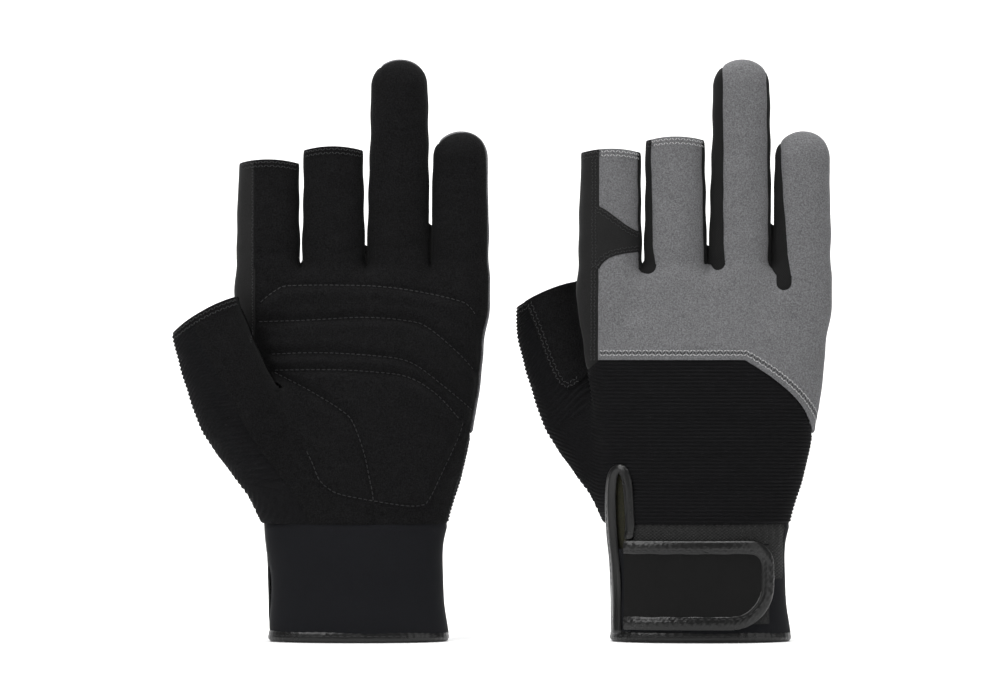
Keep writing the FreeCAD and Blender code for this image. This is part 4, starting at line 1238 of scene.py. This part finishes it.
# pitch, length, width and slant of each kind of row
QUILTED, SEAM_EDGE, FOLD_EDGE, SIDE_ROW = (2.3, 1.75, 0.42), (1.35, 1.3, 0.36, 35), (1.3, 1.25, 0.36, 38), (
    1.5, 1.3, 0.42, 30)
BORDER_LIGHT, BORDER_DARK, COVER, WEDGE_ROW = (1.45, 1.35, 0.42, 24), (1.45, 1.6, 0.5, 50), (
    1.25, 1.35, 0.36, 40), (1.3, 1.3, 0.36, 35)
THUMB_EDGE, THUMB_HEM = (1.5, 1.45, 0.4, 38), (1.3, 1.35, 0.38, 38)
STRAP_ROW, HEM_ROW, SLIT_ROW = (3.1, 2.2, 0.42), (3.0, 2.1, 0.4), (2.8, 1.9, 0.36)
PAIR = (0.9, 2.3)
GREY_LINE = np.concatenate(([(-43.0, 120.8), (10.0, 120.8)], GREY_EDGE[:-14]))
for side in SIDES:
    quilted = QUILT + [[p for p in THENAR_LINE if p[1] > 60]]
    quilting = [row(*onto(line, -1, 0.16, rise=palm_rise), *QUILTED) for line in quilted]
    quilting.append(row(*onto([(-44.9, 128), (-44.9, 160)], -1), *FOLD_EDGE))
    quilting += beside_rows([(-44.4, 120.5), (-44.4, 160)], PAIR, SEAM_EDGE)
    # The side seam shows as a row of stitches at the palm's outer edge.
    heights = np.linspace(53.0, 94.0, 22)
    edge = [BASE.points[np.abs(BASE.points[:, 2] - z) < 1.0][:, 0].max() - 1.1 for z in heights]
    quilting.append(row(*onto(list(zip(edge, heights)), -1), *SIDE_ROW))
    sew(side, "hand", "hand_dark_stitches", "thread_dark", quilting)
    sew(side, "hand", "border_light_stitches", "thread_light",
        beside_rows(GREY_LINE, (2.1, 3.9), BORDER_LIGHT, lift=0.5))
    sew(side, "hand", "border_dark_stitches", "thread_dark",
        beside_rows(GREY_LINE, (3.0,), BORDER_DARK, lift=0.42))
    for name in ("index", "middle"):
        centre, half, top = FINGERS[name][1], FINGERS[name][3], FINGER_TOPS[side][name]
        across = np.linspace(-0.93, 0.93, 24)
        rows_dark, rows_light = [], []
        for face in (-1, 1):
            hem_line = np.stack((centre + half * across, top - 1.5 * across ** 2), 1)
            for gap in (1.2, 2.9):
                entry = row(*onto(hem_line - (0, gap), face), *COVER)
                grey_back = (face == 1) & (entry[0][:, 0] > LEFT_SLOT[name][-1][1] + 0.8) & (
                    entry[0][:, 0] < RIGHT_SLOT[name])
                rows_light.append(tuple(part[grey_back] for part in entry))
                rows_dark.append(tuple(part[~grey_back] for part in entry))
        if name == "index":
            for line in (WEDGE_TOP, WEDGE_LOW):
                picked = line[(line[:, 0] > -44.5) & (line[:, 0] < -25.5)]
                rows_dark += beside_rows(picked, (-1.0, -2.4), WEDGE_ROW)
            rows_dark += beside_rows([(-44.0, 160), (-44.0, 207)], PAIR, SEAM_EDGE)
            rows_dark.append(row(*onto([(-44.9, 160), (-44.9, 206)], -1), *FOLD_EDGE))
        sew(side, name, f"{name}_dark_stitches", "thread_dark", rows_dark)
        sew(side, name, f"{name}_light_stitches", "thread_light", rows_light)
    # The thumb's back is sewn on with a double row, and its hem is turned and stitched.
    thumb_rows = []
    picked = PATCH_LINE[(PATCH_LINE[:, 0] > -78) & (PATCH_LINE[:, 0] < -51)]
    for gap in (1.0, 2.5):
        laid = onto(beside_line(picked, gap), 1, 0.5, thumb_field)
        inside_thumb = thumb_open(side)(*laid[0].T) > 1.0
        thumb_rows.append(row(laid[0][inside_thumb], laid[1][inside_thumb], *THUMB_EDGE))
    outer, inner = THUMB_TOPS[side]
    share = np.linspace(0.03, 0.97, 20)
    for face in (-1, 1):
        for gap in (1.3, 3.0):
            way = outer + (inner - outer) * share + 1.6 * (1 - (2 * share - 1) ** 2) - gap
            u = thumb_u(way) + 32 * (share - 0.5)
            line = np.stack((u * math.cos(LEAN) - way * math.sin(LEAN),
                             u * math.sin(LEAN) + way * math.cos(LEAN)), 1)
            thumb_rows.append(row(*onto(line, face, 0.15, thumb_field), *THUMB_HEM))
    sew(side, "thumb", "thumb_stitches", "thread_dark", thumb_rows)
    # Long stitches hold the bindings of strap, slit and hem.
    turns = np.linspace(0, math.pi / 2, 12)
    run = [(-32, 10.0), (12.4, 10.0)]
    run += [(12.4 + 14.7 * math.sin(t), 24.7 - 14.7 * math.cos(t)) for t in turns]
    run += [(27.1 - 6.2 + 6.2 * math.cos(t), 32.9 + 6.2 * math.sin(t)) for t in turns] + [(-32, 39.1)]
    laid = onto(run, 1, 0.35, hand_field, strap_rise)
    sew(side, "strap", "strap_stitches", "thread_dark", [row(*laid, *STRAP_ROW)])
    hem_rows = [row(*onto([(-35, 2.9), (35, 2.9)], face, 0.32, hand_field), *HEM_ROW) for face in (-1, 1)]
    hem_rows.append(row(*onto(beside_line(SLIT_LINE[10:-8], 0.85), 1, 1.45, hand_field), *SLIT_ROW))
    sew(side, "hand", "binding_stitches", "thread_dark", hem_rows)
print("with stitches:", sum(PIECES.values()), "triangles")

# %% [markdown]
# ## Floor, light and camera
# A pale floor that curves up behind the gloves, broad soft lights, and a long lens level with the
# middle of the gloves.

# %% Stage
def make_floor():
    """A pale floor that curves up into a backdrop, and is clear when looked at from behind."""
    radius, back, front, height, half = 0.35, 0.85, -1.9, 1.9, 2.2
    turns = np.linspace(0, math.pi / 2, 24)
    line = [(front, 0.0)] + [(back + radius * math.sin(t), radius - radius * math.cos(t)) for t in turns]
    line.append((back + radius, height))
    points = [(x, y, z) for y, z in line for x in (-half, half)]
    faces = [(2 * i, 2 * i + 1, 2 * i + 3, 2 * i + 2) for i in range(len(line) - 1)]
    mesh = bpy.data.meshes.new("floor")
    mesh.from_pydata(points, [], faces)
    mesh.polygons.foreach_set("use_smooth", [True] * len(faces))
    floor = bpy.data.objects.new("floor", mesh)
    bpy.context.scene.collection.objects.link(floor)
    paint = cloth("floor", colour=grey(0.93), roughness=0.9, specular=0.1)
    nodes, links = paint.node_tree.nodes, paint.node_tree.links
    mix, clear, facing = (nodes.new(f"ShaderNode{kind}")
                          for kind in ("MixShader", "BsdfTransparent", "NewGeometry"))
    links.new(facing.outputs["Backfacing"], mix.inputs[0])
    links.new(nodes["Principled BSDF"].outputs[0], mix.inputs[1])
    links.new(clear.outputs[0], mix.inputs[2])
    links.new(mix.outputs[0], nodes["Material Output"].inputs["Surface"])
    mesh.materials.append(paint)


def area_light(name, place, target, size, power):
    light = bpy.data.lights.new(name, "AREA")
    light.shape, light.size, light.size_y, light.energy = "RECTANGLE", size[0], size[1], power
    holder = bpy.data.objects.new(name, light)
    holder.location = place
    aim = np.subtract(target, place)
    holder.rotation_euler = (math.atan2(math.hypot(aim[0], aim[1]), -aim[2]), 0, math.atan2(-aim[0], aim[1]))
    bpy.context.scene.collection.objects.link(holder)


make_floor()
area_light("key", (-0.9, -1.1, 1.1), (0, 0, 0.12), (1.0, 1.0), 16)
area_light("fill", (1.2, -1.0, 0.6), (0, 0, 0.12), (0.8, 1.3), 4)
area_light("rim", (0.1, 0.6, 1.3), (0, 0, 0.15), (1.4, 0.6), 8)
area_light("backdrop", (0, -0.2, 1.8), (0, 1.0, 0.5), (2.4, 0.8), 42)
world = bpy.data.worlds.new("studio")
world.use_nodes = True
sky = world.node_tree.nodes["Background"]
sky.inputs["Color"].default_value = (1, 1, 1, 1)
path = world.node_tree.nodes.new("ShaderNodeLightPath")
level = arithmetic(world.node_tree, "MULTIPLY_ADD", path.outputs["Is Camera Ray"], 0.8, 0.2)
world.node_tree.links.new(level, sky.inputs["Strength"])
bpy.context.scene.world = world
bpy.context.scene.view_settings.view_transform = "Standard"

VIEW_WIDTH, DISTANCE = 0.430, 2.4
camera = bpy.data.cameras.new("camera")
camera.lens = camera.sensor_width * DISTANCE / VIEW_WIDTH
camera.clip_end = 20
eye = bpy.data.objects.new("camera", camera)
eye.location = (-0.0011, -DISTANCE, 0.1251)
eye.rotation_euler = (math.pi / 2, 0, 0)
bpy.context.scene.collection.objects.link(eye)
bpy.context.scene.camera = eye
print("view width", VIEW_WIDTH, "m, lens", round(camera.lens), "mm")

# %% [markdown]
# ## Sizes
# The number of pieces and triangles in the finished model.

# %% Sizes and finish
print("pieces:", len(PIECES), "triangles:", sum(PIECES.values()))
